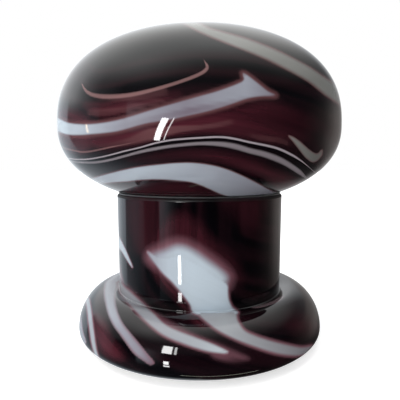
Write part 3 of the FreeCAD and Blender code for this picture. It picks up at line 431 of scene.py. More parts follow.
capStreaks = {
    "crownBand": {
        "line": ((84, -104), (122, -64), (150, -28), (176, 4), (204, 25), (220, 31), (247, 39),
                 (274, 49.5), (294, 59.5), (312, 69.5), (329, 81), (352, 98), (356, 112), (331, 98),
                 (318, 88), (307, 79.5), (287, 68.5), (260, 55.5), (234, 45), (207, 34), (188, 24),
                 (160, 6), (136, -20), (106, -56), (68, -96)),
        "fade": 2.2, "halo": 3.2, "white": (0.2, 0.22, 0.24, 0.32, 0.36, 0.32, 0.3, 0.28), "blue": 0.0,
    },
    "longBand": {
        "line": ((40, 111), (58, 118.5), (70, 123.5), (90, 124.5), (117, 120.5), (144, 112.5),
                 (171, 104.5), (197, 97.2), (219, 90.8), (236, 84.5), (244, 80), (243, 73.5), (248, 76),
                 (254, 80.5), (261, 86), (268, 91.5), (275.5, 95.5), (262, 96), (247, 98.5), (234, 103),
                 (220, 107.5), (207, 111), (190, 115), (171, 119), (144, 123.5), (117, 131), (90, 134),
                 (70, 134.5), (58, 131), (40, 122)),
        "fade": 1.4, "halo": 5.6, "white": (1.0, 0.84, 0.58, 0.4, 0.38, 0.3, 0.42, 0.5, 0.28), "blue": 1.0,
    },
    "lowBand": {
        "line": ((40, 199), (70, 186), (94, 178), (112, 173), (130, 168.8), (150, 165.8), (180, 163.2),
                 (200, 163.8), (220, 167.5), (240, 175), (256, 183), (266, 188.5), (282, 197), (262, 202),
                 (247, 200), (234, 198), (220, 193.5), (207, 187.5), (193, 182.2), (180, 180.3),
                 (153, 179), (128, 181), (100, 184), (80, 191), (50, 206)),
        "fade": 1.0, "halo": 2.0, "white": (0.5, 0.58, 0.75, 0.66, 0.5, 0.34), "blue": 1.0,
    },
    "rightLens": {
        "line": ((289, 136), (295, 138.5), (301, 143.2), (308, 149.5), (314, 153.4), (318, 153.8),
                 (322, 150), (321.5, 155), (317, 160.4), (312, 161.6), (306, 157), (300, 149.6),
                 (294, 142)),
        "fade": 1.4, "halo": 1.2, "white": (0.3, 0.14), "blue": 0.0,
    },
}

baseStreaks = {
    "columnPatch": {
        "line": ((147.5, 252.5), (154, 255), (161, 258), (168, 256), (178, 254), (190, 258), (206, 267.5),
                 (219, 278), (227, 285), (227.6, 292), (228.6, 300), (231.8, 307), (236, 314), (197, 314),
                 (190, 304), (182.5, 294), (172.5, 282.5), (161, 271)),
        "fade": 1.6, "halo": 3.6, "white": (0.5, 0.86, 1.0, 0.99, 0.93), "blue": 1.0,
    },
    "footTail": {
        "line": ((196, 310.5), (212, 311), (234, 310), (237, 320), (243.5, 330), (254, 335.5),
                 (269, 340.5), (288, 345.5), (302, 348), (313, 346.5), (312, 351), (302, 354.5),
                 (290, 355), (274, 352.5), (254, 346), (236, 339), (219, 330.5), (206, 321), (199, 314)),
        "fade": 1.7, "halo": 4.2, "white": (0.52, 0.62, 0.5, 0.42, 0.28), "blue": 0.6,
    },
    "columnGlow": {
        "line": ((153, 257), (165, 250.5), (177, 246), (190, 249.5), (206, 260), (220, 270.5), (226, 279),
                 (219, 288), (204, 294), (190, 284), (170, 269)),
        "fade": 5.6, "halo": 14.0, "white": (0.5, 0.88, 0.95, 0.9), "blue": 1.0,
    },
    "leftWedge": {
        "line": ((112, 226), (118, 235), (124, 247), (129, 258), (132.6, 267.7), (127, 260), (121, 250),
                 (112, 240)),
        "fade": 0.8, "halo": 1.4, "white": (0.86, 0.8), "blue": 1.0,
    },
    "leftTail": {
        "line": ((108, 250), (117, 264), (120, 277), (123, 286), (131, 293), (141, 302.5), (152, 312.5),
                 (167, 326), (191, 336), (214, 345), (228, 352.5), (211, 351.5), (188, 345), (163, 334.5),
                 (143, 318), (129, 303), (121, 293), (117, 281), (106, 262)),
        "fade": 1.8, "halo": 4.0, "white": (0.6, 0.5, 0.54, 0.66, 0.9), "blue": 0.7,
    },
    "footBow": {
        "line": ((112, 274), (116, 277), (116.5, 285), (114.5, 296), (115.5, 308), (121, 322),
                 (130.5, 334.5), (140, 346), (147, 355), (153, 362), (151, 364.5), (144.5, 360.5),
                 (134, 352.5), (123.5, 338), (112.5, 322), (106, 303), (104.8, 290), (106.5, 281)),
        "fade": 2.4, "halo": 1.0, "white": (0.7, 0.48, 0.36, 0.16), "blue": 1.0,
    },
    "footRib": {
        "line": ((86, 296), (89, 299), (91.7, 314.5), (93.6, 331), (96.2, 349), (99, 359), (97, 360),
                 (94.8, 354.5), (91.7, 343.6), (89, 325.4), (87, 307), (85, 298)),
        "fade": 1.0, "halo": 2.2, "white": (0.62, 0.74), "blue": 0.8,
    },
    "edgeSliver": {
        "line": ((74, 312), (80, 314), (81.5, 322), (83, 332), (86, 342), (82, 345), (76, 336)),
        "fade": 1.2, "halo": 0.4, "white": (0.5,), "blue": 1.0,
    },
    "creaseWisp": {
        "line": ((252, 307.5), (262, 304.5), (272, 302), (284, 295), (280, 300), (264, 306.5)),
        "fade": 1.4, "halo": 0.6, "white": (0.14, 0.1), "blue": 0.2,
    },
}

# thin lines: photograph pixels of the middle line, each with half the line's width
capLines = {
    "pinkLine": (
        (81, 82, 0.2), (84, 88, 0.9), (88, 92.5, 1.6), (95, 95.4, 2.0), (109.4, 96.6, 2.2), (131, 94.8, 2.0),
        (155.4, 89.2, 1.7), (179.7, 81.8, 1.6), (199, 74.4, 1.7), (206.6, 69, 1.7), (206.6, 64.5, 1.2),
        (203, 60, 0.3)),
    "brownLine": (
        (50, 138, 0.2), (62.5, 147, 0.7), (76, 151, 0.8), (85, 152, 0.9), (97.5, 150, 0.9), (110, 147.3, 0.7),
        (122, 145, 0.3), (136, 142, 0.1)),
    "whiteLine": (
        (44, 144, 0.2), (62, 156, 0.4), (72.5, 158.9, 0.6), (85, 159.4, 0.7), (97.5, 157.7, 0.7),
        (110, 155, 0.7),
        (125, 151, 0.75), (140, 147.5, 0.75), (155, 143.2, 0.8), (172.5, 139.9, 0.9), (200, 137.8, 0.9),
        (220, 137, 1.0), (234, 138.7, 1.0), (250, 142.3, 1.0), (275, 147.6, 1.1), (290, 154, 1.1),
        (300, 160, 0.7), (310, 168, 0.2), (330, 186, 0.1)),
    "greyLine": (
        (60, 158, 0.2), (70, 161, 0.5), (82.5, 162.5, 1.0), (97.5, 162.2, 1.1), (112.5, 159.4, 1.1),
        (130, 154.6, 1.2), (147.5, 150.2, 1.5), (172.5, 145.9, 1.5), (200, 143.5, 1.6), (220, 144, 2.2),
        (235, 146.4, 2.6), (250, 150.8, 2.5), (262, 153.6, 2.6), (275, 158, 2.8), (287, 163.8, 2.5),
        (300, 172.6, 2.2), (308, 180, 0.3)),
}

# lines that the fine streaks follow
capFlow = ((40, 130), (60, 143), (77, 150), (102, 151), (128, 148), (153, 142.5), (180, 138.6), (193, 137.2),
           (213, 137.2), (234, 139.2), (260, 144.5), (280, 151), (294, 156.5), (310, 168), (350, 204))
baseFlow = ((119, 190), (119, 262), (126, 296), (151, 325), (187, 345), (240, 362), (330, 372))

# broad fields of lighter plum, and of mauve where a streak thins out, with how strong each is
capFields = {
    "underBand": {
        "line": ((44, 128), (58, 135), (90, 137), (117, 134), (150, 126), (197, 117), (240, 107),
                 (272, 103), (300, 114), (318, 126), (306, 140), (280, 142), (250, 137), (215, 131),
                 (180, 132), (140, 141), (100, 147), (60, 139)),
        "fade": 7, "plum": (0.55, 0.48, 0.66, 0.7, 0.42, 0.24, 0.08),
    },
    "aboveBand": {
        "line": ((84, 104), (106, 103), (150, 97), (178, 92), (178, 98), (150, 106), (130, 112),
                 (100, 118)),
        "fade": 5, "plum": (0.3, 0.5, 0.2),
    },
    "aboveLine": {
        "path": ((84, 112, 3), (96, 112.5, 4), (111, 111.5, 4), (126, 109, 3.6), (140, 105.5, 3.2),
                 (155, 103, 2.6), (170, 99, 1.6)),
        "mauve": (0.4, 0.45, 0.35),
    },
    "upperMauve": {
        "path": ((92, 97, 2), (110, 98.6, 3), (131, 97.6, 4), (155, 93.5, 5), (172, 89, 4)),
        "mauve": (0.2, 0.45, 0.35),
    },
    "underLine": {
        "path": ((62, 140, 2), (80, 144, 3), (96, 146.5, 3), (110, 145.5, 3), (130, 141, 4),
                 (150, 134.5, 6), (165, 131.5, 4.5), (180, 129, 3.2), (200, 127.3, 2.4), (220, 124.5, 3),
                 (238, 120, 3)),
        "mauve": (0.1, 0.15, 0.4, 0.85, 0.8, 0.55, 0.35),
    },
    "longBandShade": {
        "path": ((96, 130, 3), (120, 127, 3), (150, 119.5, 3), (180, 113, 3), (200, 109, 3.4),
                 (222, 105.5, 3.6), (240, 101, 3), (262, 97, 2)),
        "dim": (0.0, 0.1, 0.25, 0.4, 0.3, 0.2),
    },
    "lensLine": {
        "path": ((245, 134, 2), (262, 138, 3), (280, 140.5, 3), (292, 146, 2)),
        "mauve": (0.25, 0.36, 0.3),
    },
    "belowLines": {
        "line": ((128, 160), (170, 153), (215, 152), (262, 164), (276, 178), (255, 174), (220, 161),
                 (180, 157), (150, 161)),
        "fade": 6, "plum": (0.15, 0.3, 0.3),
    },
    "leftEdge": {
        "line": ((60, 108), (78, 112), (92, 122), (92, 138), (86, 152), (64, 148), (50, 120)),
        "fade": 6, "plum": (0.5,),
    },
    "lensEdge": {
        "line": ((262, 168), (280, 172), (300, 182), (290, 192), (272, 184)),
        "fade": 6, "plum": (0.3,),
    },
    "underside": {
        "line": ((110, 186), (150, 183), (190, 185), (225, 197), (235, 210), (150, 206)),
        "fade": 6, "plum": (0.25,),
    },
}

baseFields = {
    "columnLeft": {
        "line": ((128, 196), (158, 196), (160, 225), (160, 244), (150, 252), (134, 248)),
        "fade": 7, "plum": (0.22, 0.22, 0.2),
    },
    "abovePatch": {
        "line": ((146, 244), (160, 226), (176, 214), (194, 220), (212, 240), (236, 262), (240, 284),
                 (228, 276), (206, 258), (180, 243), (164, 248)),
        "fade": 9, "plum": (0.34, 0.36, 0.3, 0.2),
    },
    "columnTop": {
        "line": ((222, 196), (262, 196), (264, 214), (250, 228), (232, 210)),
        "fade": 12, "plum": (0.16,),
    },
    "belowPatch": {
        "line": ((148, 258), (158, 268), (172, 285), (188, 308), (206, 326), (196, 324), (176, 300),
                 (156, 278)),
        "fade": 4, "plum": (0.35,),
    },
    "footLeft": {
        "line": ((92, 314), (104, 322), (112, 340), (128, 358), (112, 358), (98, 345)),
        "fade": 6, "plum": (0.5, 0.6, 0.5, 0.1),
    },
    "aboveTail": {
        "line": ((126, 284), (140, 297), (155, 311), (190, 331), (228, 347), (250, 358), (236, 360),
                 (190, 344), (140, 312)),
        "fade": 4, "mauve": (0.5,),
    },
    "tailEnd": {
        "line": ((208, 347), (222, 350), (236, 355.5), (246, 361), (238, 363), (222, 360.5), (212, 356)),
        "fade": 5.0, "mauve": (0.7, 0.55, 0.2),
    },
    # a faint lighter plum patch where the foot's right top shows a soft reflection: partly the glass's plum,
    # partly painted reflection
    "rightPlumAndReflection": {
        "line": ((286, 310), (300, 306), (312, 314), (314, 328), (300, 332), (288, 324)),
        "fade": 10, "plum": (0.14,),
    },
}

marbling = {
    "black": (0.0012, 0.0008, 0.0016),
    "amethyst": (0.0088, 0.0026, 0.0042),
    "plum": (0.092, 0.017, 0.027),
    "neutral": (0.034, 0.036, 0.036),
    "purple": (0.062, 0.018, 0.043),
    "milkBlue": (0.455, 0.525, 0.585),
    "milkWarm": (0.47, 0.49, 0.455),
    "pink": (0.255, 0.140, 0.138),
    "pale": (0.30, 0.262, 0.285),
    # edge: pale colour of the painted rim reflection that the glass takes at grazing angles
    "edge": (0.38, 0.46, 0.46),
    "capHalo": (0.112, 0.046, 0.050),
    "baseHalo": (0.19, 0.082, 0.105),
    "backRise": -24.0,  # how far the pattern climbs on the far side, in photograph pixels
    "backShift": 34.0,
    "crownStretch": 250.0,
    "stretchOver": 0.03,
    "stretchSoft": 0.06,
    "topBlend": 0.025,
    "topFrom": 0.19,
    "topOver": 0.05,
    "driftScale": 34.0,  # slow bends of the fine streaks
    "driftPull": 5.0,
    "streakAcross": 0.2,  # fine streaks per photograph pixel across the flow
    "streakAlong": 9.0,
    "edgeWander": 0.8,
    "polishScale": 55.0,
    "waveScale": 16.0,
    "waveStrength": 0.12,
    "waveDepth": 0.004,
    "paintedRimFrom": 0.88,  # how grazing the view is where the painted rim reflection, standing in for the clear outer casing, starts to show
    "paintedRimShare": 0.75,
    "paintedRimLevels": (0.008, 0.03),
    "groundFade": 0.0006,
    "groundMatt": 0.55,
}


curveSteps = 4


def closedCurve(points):
    # a smooth closed line through the points
    points = np.asarray(points, float)
    a, b, c, d = (np.roll(points, k, axis=0)[:, None, :] for k in (1, 0, -1, -2))
    t = (np.arange(curveSteps) / curveSteps)[None, :, None]
    curve = 0.5 * (2 * b + (c - a) * t + (2 * a - 5 * b + 4 * c - d) * t**2 + (3 * b - a - 3 * c + d) * t**3)
    return curve.reshape(-1, 2)


def nearestOn(line, u, v, closed):
    # how far the line is, on which side of it the point lies, where the nearest point is in steps along the
    # line, and whether a closed line goes round the point
    starts = line if closed else line[:-1]
    ends = np.roll(line, -1, axis=0) if closed else line[1:]
    best = np.full(len(u), 1e9)
    side = np.zeros(len(u))
    along = np.zeros(len(u))
    inside = np.zeros(len(u), bool)
    for k, ((ax, ay), (bx, by)) in enumerate(zip(starts, ends)):
        dx, dy = bx - ax, by - ay
        share = np.clip(((u - ax) * dx + (v - ay) * dy) / (dx * dx + dy * dy), 0, 1)
        away = np.hypot(u - ax - share * dx, v - ay - share * dy)
        near = away < best
        side = np.where(near, np.sign(dx * (v - ay) - dy * (u - ax)), side)
        along = np.where(near, k + share, along)
        best = np.minimum(best, away)
        if closed and ay != by:
            inside ^= ((ay > v) != (by > v)) & (u < ax + dx * (v - ay) / dy)
    return best, side, along, inside


def distanceTo(line, u, v):
    # distance in pixels from a closed line, positive inside it
    best, *_, inside = nearestOn(line, u, v, True)
    return np.where(inside, best, -best)


def fadeIn(value):
    value = np.clip(value, 0, 1)
    return value * value * (3 - 2 * value)


def patternPlace(mesh, reach):
    # photograph pixels for the near side; the far side takes its mirror point, moved as it goes back
    places = vertexPlaces(mesh)
    x, y, z = places.T
    normals = np.empty(len(mesh.vertices) * 3, np.float32)
    mesh.vertices.foreach_get("normal", normals)
    normals = normals.reshape(-1, 3).astype(float)
    top = fadeIn((z - marbling["topFrom"]) / marbling["topOver"]) * marbling["topBlend"]
    near = -np.sqrt(y * y + top * top)
    u, v = photoPoint(x, near, z)
    towards = np.array(cameraView["place"]) - np.column_stack([x, near, z])
    towards /= np.linalg.norm(towards, axis=1)[:, None]
    normals[:, 1] = -np.abs(normals[:, 1])
    hidden = np.maximum(0, -(normals * towards).sum(axis=1))
    above = fadeIn((z - shadeGlass["widestLevel"]) / marbling["stretchOver"])
    v = v - marbling["crownStretch"] * hidden * hidden / (hidden + marbling["stretchSoft"]) * above
    back = np.clip(y / reach, 0, 1) ** 2
    return u + marbling["backShift"] * back, v + marbling["backRise"] * back


def alongShare(line, u, strengths):
    # strengths at even steps from the line's left end to its right end
    left, right = line[:, 0].min(), line[:, 0].max()
    share = np.clip((u - left) / (right - left), 0, 1)
    return np.interp(share, np.linspace(0, 1, len(strengths)), strengths)


def pathAway(points, u, v):
    # a smooth open line through the points, the distance from it in its own half widths, positive on its
    # lower side, and a mask that is nothing past its ends
    *places, halves = np.asarray(points).T
    line = smoothThrough(np.column_stack(places), steps=curveSteps)
    best, side, along, _ = nearestOn(line, u, v, False)
    half = np.interp(along / curveSteps, np.arange(len(halves)), halves)
    return line, best * side / half, fadeIn(np.minimum(along, len(line) - 1 - along) / 2)


def storeMarbling(mesh, reach, streaks, fields, lines, flowLine):
    u, v = patternPlace(mesh, reach)
    milk = np.full(len(u), -4.0)
    halo = np.full(len(u), -1.0)
    white, blue = np.zeros(len(u)), np.zeros(len(u))
    for streak in streaks.values():
        line = closedCurve(streak["line"])
        away = distanceTo(line, u, v)
        inside = np.clip(away / streak["fade"], -4, 4)
        white = np.where(inside > milk, alongShare(line, u, streak["white"]), white)
        blue = np.where(inside > milk, streak["blue"], blue)
        milk = np.maximum(milk, inside)
        halo = np.maximum(halo, np.clip(away / streak["halo"] + 1, -1, 2))
    plum = np.zeros(len(u))
    for field in fields.values():
        if "path" in field:
            line, away, mask = pathAway(field["path"], u, v)
            share = fadeIn(1.5 - np.abs(away)) * mask
        else:
            line = closedCurve(field["line"])
            share = fadeIn(distanceTo(line, u, v) / field["fade"] / 2 + 0.5)
        if "plum" in field:
            plum = np.maximum(plum, share * alongShare(line, u, field["plum"]))
        if "dim" in field:
            white = white * (1 - share * alongShare(line, u, field["dim"]))
        if "mauve" in field:
            halo = np.maximum(halo, share * alongShare(line, u, field["mauve"]))
    away, side, *_ = nearestOn(smoothThrough(flowLine, steps=curveSteps), u, v, False)
    flow = away * side
    for name, values in (("milk", milk), ("white", white), ("blue", blue), ("halo", halo), ("plum", plum),
                         ("flow", flow)):
        storeValues(mesh, name, values)
    for name, points in lines.items():
        _, away, mask = pathAway(points, u, v)
        store = mesh.attributes.new(name, "FLOAT_VECTOR", "POINT")
        packed = np.column_stack([np.clip(away, -9, 9), mask, np.zeros(len(u))])
        store.data.foreach_set("vector", packed.astype(np.float32).ravel())


# Shader building

def mixColours(tree, share, first, second):
    node = shaderNode(tree, "ShaderNodeMix", data_type="RGBA")
    setSocket(tree, node.inputs["Factor"], share)
    setSocket(tree, node.inputs[6], first)
    setSocket(tree, node.inputs[7], second)
    return node.outputs[2]


def spread(tree, value, low, high, toLow=0.0, toHigh=1.0, smooth=True):
    # a value's range moved to another range
    node = shaderNode(tree, "ShaderNodeMapRange", interpolation_type="SMOOTHSTEP" if smooth else "LINEAR")
    for name, given in (("Value", value), ("From Min", low), ("From Max", high), ("To Min", toLow),
                        ("To Max", toHigh)):
        setSocket(tree, node.inputs[name], given)
    return node.outputs["Result"]


def noise(tree, vector, scale, detail=2.0, roughness=0.5, distortion=0.0):
    node = shaderNode(tree, "ShaderNodeTexNoise")
    setSocket(tree, node.inputs["Vector"], vector)
    for name, given in (("Scale", scale), ("Detail", detail), ("Roughness", roughness),
                        ("Distortion", distortion)):
        setSocket(tree, node.inputs[name], given)
    return node.outputs["Fac"]


def stretched(tree, vector, scale, rotation=(0, 0, 0)):
    node = shaderNode(tree, "ShaderNodeMapping")
    setSocket(tree, node.inputs["Vector"], vector)
    node.inputs["Scale"].default_value = scale
    node.inputs["Rotation"].default_value = rotation
    return node.outputs[0]


def newGroup(name, inputs, outputs):
    tree = bpy.data.node_groups.new(name, "ShaderNodeTree")
    for label, kind, value in inputs:
        socket = tree.interface.new_socket(label, in_out="INPUT", socket_type="NodeSocket" + kind)
        if value is not None:
            socket.default_value = value
    for label, kind in outputs:
        tree.interface.new_socket(label, in_out="OUTPUT", socket_type="NodeSocket" + kind)
    return tree, tree.nodes.new("NodeGroupInput").outputs, tree.nodes.new("NodeGroupOutput").inputs


def useGroup(tree, group, **values):
    node = shaderNode(tree, "ShaderNodeGroup", node_tree=group)
    for name, value in values.items():
        setSocket(tree, node.inputs[name.replace("_", " ")], value)
    return node.outputs


def newMaterial(name, **settings):
    material = bpy.data.materials.new(name)
    material.use_nodes = True
    tree = material.node_tree
    shader = tree.nodes["Principled BSDF"]
    for label, value in settings.items():
        setSocket(tree, shader.inputs[label.replace("_", " ")], value)
    return material, tree, shader


def raised(tree, height, strength, distance):
    node = shaderNode(tree, "ShaderNodeBump")
    node.inputs["Strength"].default_value = strength
    node.inputs["Distance"].default_value = distance
    setSocket(tree, node.inputs["Height"], height)
    return node.outputs[0]


def objectPlace(tree):
    return shaderNode(tree, "ShaderNodeTexCoord").outputs["Object"]


# thin lines: the socket and attribute of each, its colour and its strength
thinLines = {
    "Pink line": ("pinkLine", "pink", 0.62),
    "Brown line": ("brownLine", "pink", 0.5),
    "White line": ("whiteLine", "pale", 1.0),
    "Grey line": ("greyLine", "pale", 0.6),
}


def makeMarblingGroup():
    # colour of the glass from its streak values, with fine streaks along the flow
    tree, given, made = newGroup("marbling", [
        ("Place", "Vector", None), ("Flow", "Float", 0.0), ("Milk", "Float", -4.0), ("White", "Float", 1.0),
        ("Blue", "Float", 1.0), ("Halo", "Float", -1.0), ("Plum", "Float", 0.0),
        *((label, "Vector", (9, 0, 0)) for label in thinLines), ("Halo tint", "Color", (0.1, 0.05, 0.05, 1)),
    ], [("Color", "Color"), ("Roughness", "Float"), ("Height", "Float")])
    place, flow = given["Place"], given["Flow"]
    across = shaderNode(tree, "ShaderNodeSeparateXYZ")
    link(tree, place, across.inputs[0])
    drift = noise(tree, place, marbling["driftScale"], 3.0)
    bent = calculate(tree, "ADD", flow, calculate(tree, "MULTIPLY", drift, marbling["driftPull"]))
    streaky = shaderNode(tree, "ShaderNodeCombineXYZ")
    link(tree, calculate(tree, "MULTIPLY", bent, marbling["streakAcross"]), streaky.inputs[0])
    for k in range(2):
        link(tree, calculate(tree, "MULTIPLY", across.outputs[k], marbling["streakAlong"]),
             streaky.inputs[k + 1])
    wisps = noise(tree, streaky.outputs[0], 1.0, 4.0, 0.6)
    cloud = noise(tree, streaky.outputs[0], 0.3, 3.0, 0.5)
    wander = calculate(tree, "MULTIPLY", calculate(tree, "SUBTRACT", drift, 0.5), marbling["edgeWander"])
    milk = spread(tree, calculate(tree, "ADD", given["Milk"], wander), -1.0, 1.0)
    ground = mixColours(tree, spread(tree, cloud, 0.4, 0.66), marbling["black"], marbling["amethyst"])
    plumShare = calculate(tree, "MULTIPLY", given["Plum"], spread(tree, wisps, 0.3, 0.66, 0.66, 1.18),
                          clamp=True)
    ground = mixColours(tree, plumShare, ground, marbling["plum"])
    haloShare = spread(tree, given["Halo"], 0.0, 1.0)
    haloShare = calculate(tree, "MULTIPLY", haloShare, spread(tree, wisps, 0.25, 0.7, 0.75, 1.0))
    ground = mixColours(tree, haloShare, ground, given["Halo tint"])
    underMilk = mixColours(tree, given["Blue"], marbling["neutral"], marbling["purple"])
    ground = mixColours(tree, calculate(tree, "MULTIPLY", milk, 0.85), ground, underMilk)
    thin = {}
    for label in thinLines:
        parts = shaderNode(tree, "ShaderNodeSeparateXYZ")
        link(tree, given[label], parts.inputs[0])
        thin[label] = parts.outputs[0], parts.outputs[1]
    # a black line runs close under the thin white one
    away, mask = thin["White line"]
    under = calculate(tree, "MULTIPLY", spread(tree, away, 4.4, 3.2, 0.0, 0.92), spread(tree, away, 0.4, 1.4))
    ground = mixColours(tree, calculate(tree, "MULTIPLY", under, mask), ground, marbling["black"])
    for label, (_, colour, strength) in thinLines.items():
        away, mask = thin[label]
        share = spread(tree, calculate(tree, "ABSOLUTE", away), 1.5, 0.4)
        share = calculate(tree, "MULTIPLY", calculate(tree, "MULTIPLY", share, mask),
                          spread(tree, wisps, 0.25, 0.6, strength * 0.8, strength))
        ground = mixColours(tree, share, ground, marbling[colour])
    milkColour = mixColours(tree, given["Blue"], marbling["milkWarm"], marbling["milkBlue"])
    whiteness = calculate(tree, "MULTIPLY", given["White"], spread(tree, wisps, 0.25, 0.7, 0.975, 1.01))
    share = calculate(tree, "MULTIPLY", milk, whiteness, clamp=True)
    link(tree, mixColours(tree, share, ground, milkColour), made["Color"])
    polish = noise(tree, place, marbling["polishScale"], 4.0)
    link(tree, spread(tree, polish, 0.3, 0.7, 0.022, 0.05), made["Roughness"])
    link(tree, noise(tree, place, marbling["waveScale"], 1.0), made["Height"])
    return tree


marblingGroup = makeMarblingGroup()


def makeGlassMaterial(name, lines, haloTint, groundAbove=None):
    material, tree, shader = newMaterial(name, IOR=1.5)
    place = objectPlace(tree)
    values = {"Halo_tint": haloTint}
    wanted = {label.capitalize(): label for label in ("milk", "white", "blue", "halo", "plum", "flow")}
    wanted.update({label: attribute for label, (attribute, *_) in thinLines.items() if attribute in lines})
    for label, attribute in wanted.items():
        stored = shaderNode(tree, "ShaderNodeAttribute", attribute_name=attribute)
        values[label] = stored.outputs["Vector" if attribute in lines else "Fac"]
    glass = useGroup(tree, marblingGroup, Place=place, **values)
    # painted reflection: at grazing angles the base colour turns towards the pale edge colour, for the light
    # that the clear outer casing carries from what stands behind
    weight = shaderNode(tree, "ShaderNodeLayerWeight")
    weight.inputs["Blend"].default_value = 0.5
    rim = spread(tree, weight.outputs["Facing"], marbling["paintedRimFrom"], 1.0, 0.0, marbling["paintedRimShare"])
    height = shaderNode(tree, "ShaderNodeSeparateXYZ")
    link(tree, place, height.inputs[0])
    rim = calculate(tree, "MULTIPLY", rim, spread(tree, height.outputs[2], *marbling["paintedRimLevels"]))
    link(tree, mixColours(tree, rim, glass["Color"], marbling["edge"]), shader.inputs["Base Color"])
    roughness = glass["Roughness"]
    if groundAbove:
        matt = spread(tree, height.outputs[2], groundAbove, groundAbove + marbling["groundFade"], 0.0,
                      marbling["groundMatt"])
        roughness = calculate(tree, "MAXIMUM", roughness, matt)
    link(tree, roughness, shader.inputs["Roughness"])
    wavy = raised(tree, glass["Height"], marbling["waveStrength"], marbling["waveDepth"])
    link(tree, wavy, shader.inputs["Normal"])
    return material


shadeMaterial = makeGlassMaterial("marbledShade", capLines, marbling["capHalo"])
baseMaterial = makeGlassMaterial("marbledBase", (), marbling["baseHalo"], baseGlass["groundAbove"])


# Glass shade

def makeShade():
    shade = turnGlass("marbledShade", shadeOutline(), shadeGlass["turns"], shadeMaterial)
    faceOutwards(shade.data)
    storeMarbling(shade.data, shadeGlass["reach"], capStreaks, capFields, capLines, capFlow)
    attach(shade, "shade")
    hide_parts("glass_shade")
    print("glass shade:", len(shade.data.polygons), "faces")


# Glass base: column and foot in one, with the inlet hole at the back

def makeBase():
    base = turnGlass("marbledBase", baseOutline(), baseGlass["turns"], baseMaterial)
    faceOutwards(base.data)
    storeMarbling(base.data, baseGlass["footRadius"], baseStreaks, baseFields, {}, baseFlow)
    drill = bmesh.new()
    bmesh.ops.create_cone(drill, cap_ends=True, segments=baseGlass["inletSides"],
                          radius1=baseGlass["inletRadius"], radius2=baseGlass["inletRadius"],
                          depth=baseGlass["inletDepth"])
    middle = Vector((0, baseGlass["footRadius"], baseGlass["inletLevel"]))
    level = Matrix.Translation(middle) @ Matrix.Rotation(math.pi / 2, 4, "X")
    bmesh.ops.transform(drill, verts=drill.verts, matrix=level)
    drillMesh = bpy.data.meshes.new("inletDrill")
    drill.to_mesh(drillMesh)
    drill.free()
    tool = newObject("inletDrill", drillMesh)
    hole = base.modifiers.new("inlet", "BOOLEAN")
    hole.operation, hole.solver, hole.object = "DIFFERENCE", "EXACT", tool
    mesh = plainMesh(base, "marbledBase")
    base.modifiers.clear()
    base.data = mesh
    bpy.data.objects.remove(tool)
    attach(base, "lamp")
    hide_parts("glass_base")
    print("glass base:", len(base.data.polygons), "faces")


makeShade()
makeBase()


# Surfaces of the parts inside and underneath

def makeWearGroup():
    # fine scratches or mould grain, and blotches of handling
    tree, given, made = newGroup("surfaceWear", [
        ("Place", "Vector", None), ("Fine scale", "Float", 900.0), ("Blotch scale", "Float", 40.0),
        ("Shine low", "Float", 0.3), ("Shine high", "Float", 0.5), ("First", "Color", (0.5, 0.5, 0.5, 1)),
        ("Second", "Color", (0.4, 0.4, 0.4, 1)),
    ], [("Color", "Color"), ("Roughness", "Float"), ("Height", "Float")])
    fine = noise(tree, given["Place"], given["Fine scale"], 3.0, 0.6)
    blotch = noise(tree, given["Place"], given["Blotch scale"], 4.0, 0.55)
    shares = spread(tree, blotch, 0.3, 0.7)
    link(tree, mixColours(tree, shares, given["First"], given["Second"]), made["Color"])
    both = calculate(tree, "MULTIPLY", calculate(tree, "ADD", fine, blotch), 0.5)
    shine = spread(tree, both, 0.3, 0.7, given["Shine low"], given["Shine high"], False)
    link(tree, shine, made["Roughness"])
    link(tree, fine, made["Height"])
    return tree


wearGroup = makeWearGroup()
wearDepth = 0.0004


def makeWornMaterial(name, look):
    material, tree, shader = newMaterial(name, **look["shader"])
    place = stretched(tree, objectPlace(tree), look.get("stretch", (1, 1, 1)))
    worn = useGroup(tree, wearGroup, Place=place, Fine_scale=look["fine"], Blotch_scale=look["blotch"],
                    Shine_low=look["shine"][0], Shine_high=look["shine"][1],
                    First=look["first"], Second=look["second"])
    link(tree, worn["Color"], shader.inputs["Base Color"])
    link(tree, worn["Roughness"], shader.inputs["Roughness"])
    link(tree, raised(tree, worn["Height"], look["depth"], wearDepth), shader.inputs["Normal"])
    return material


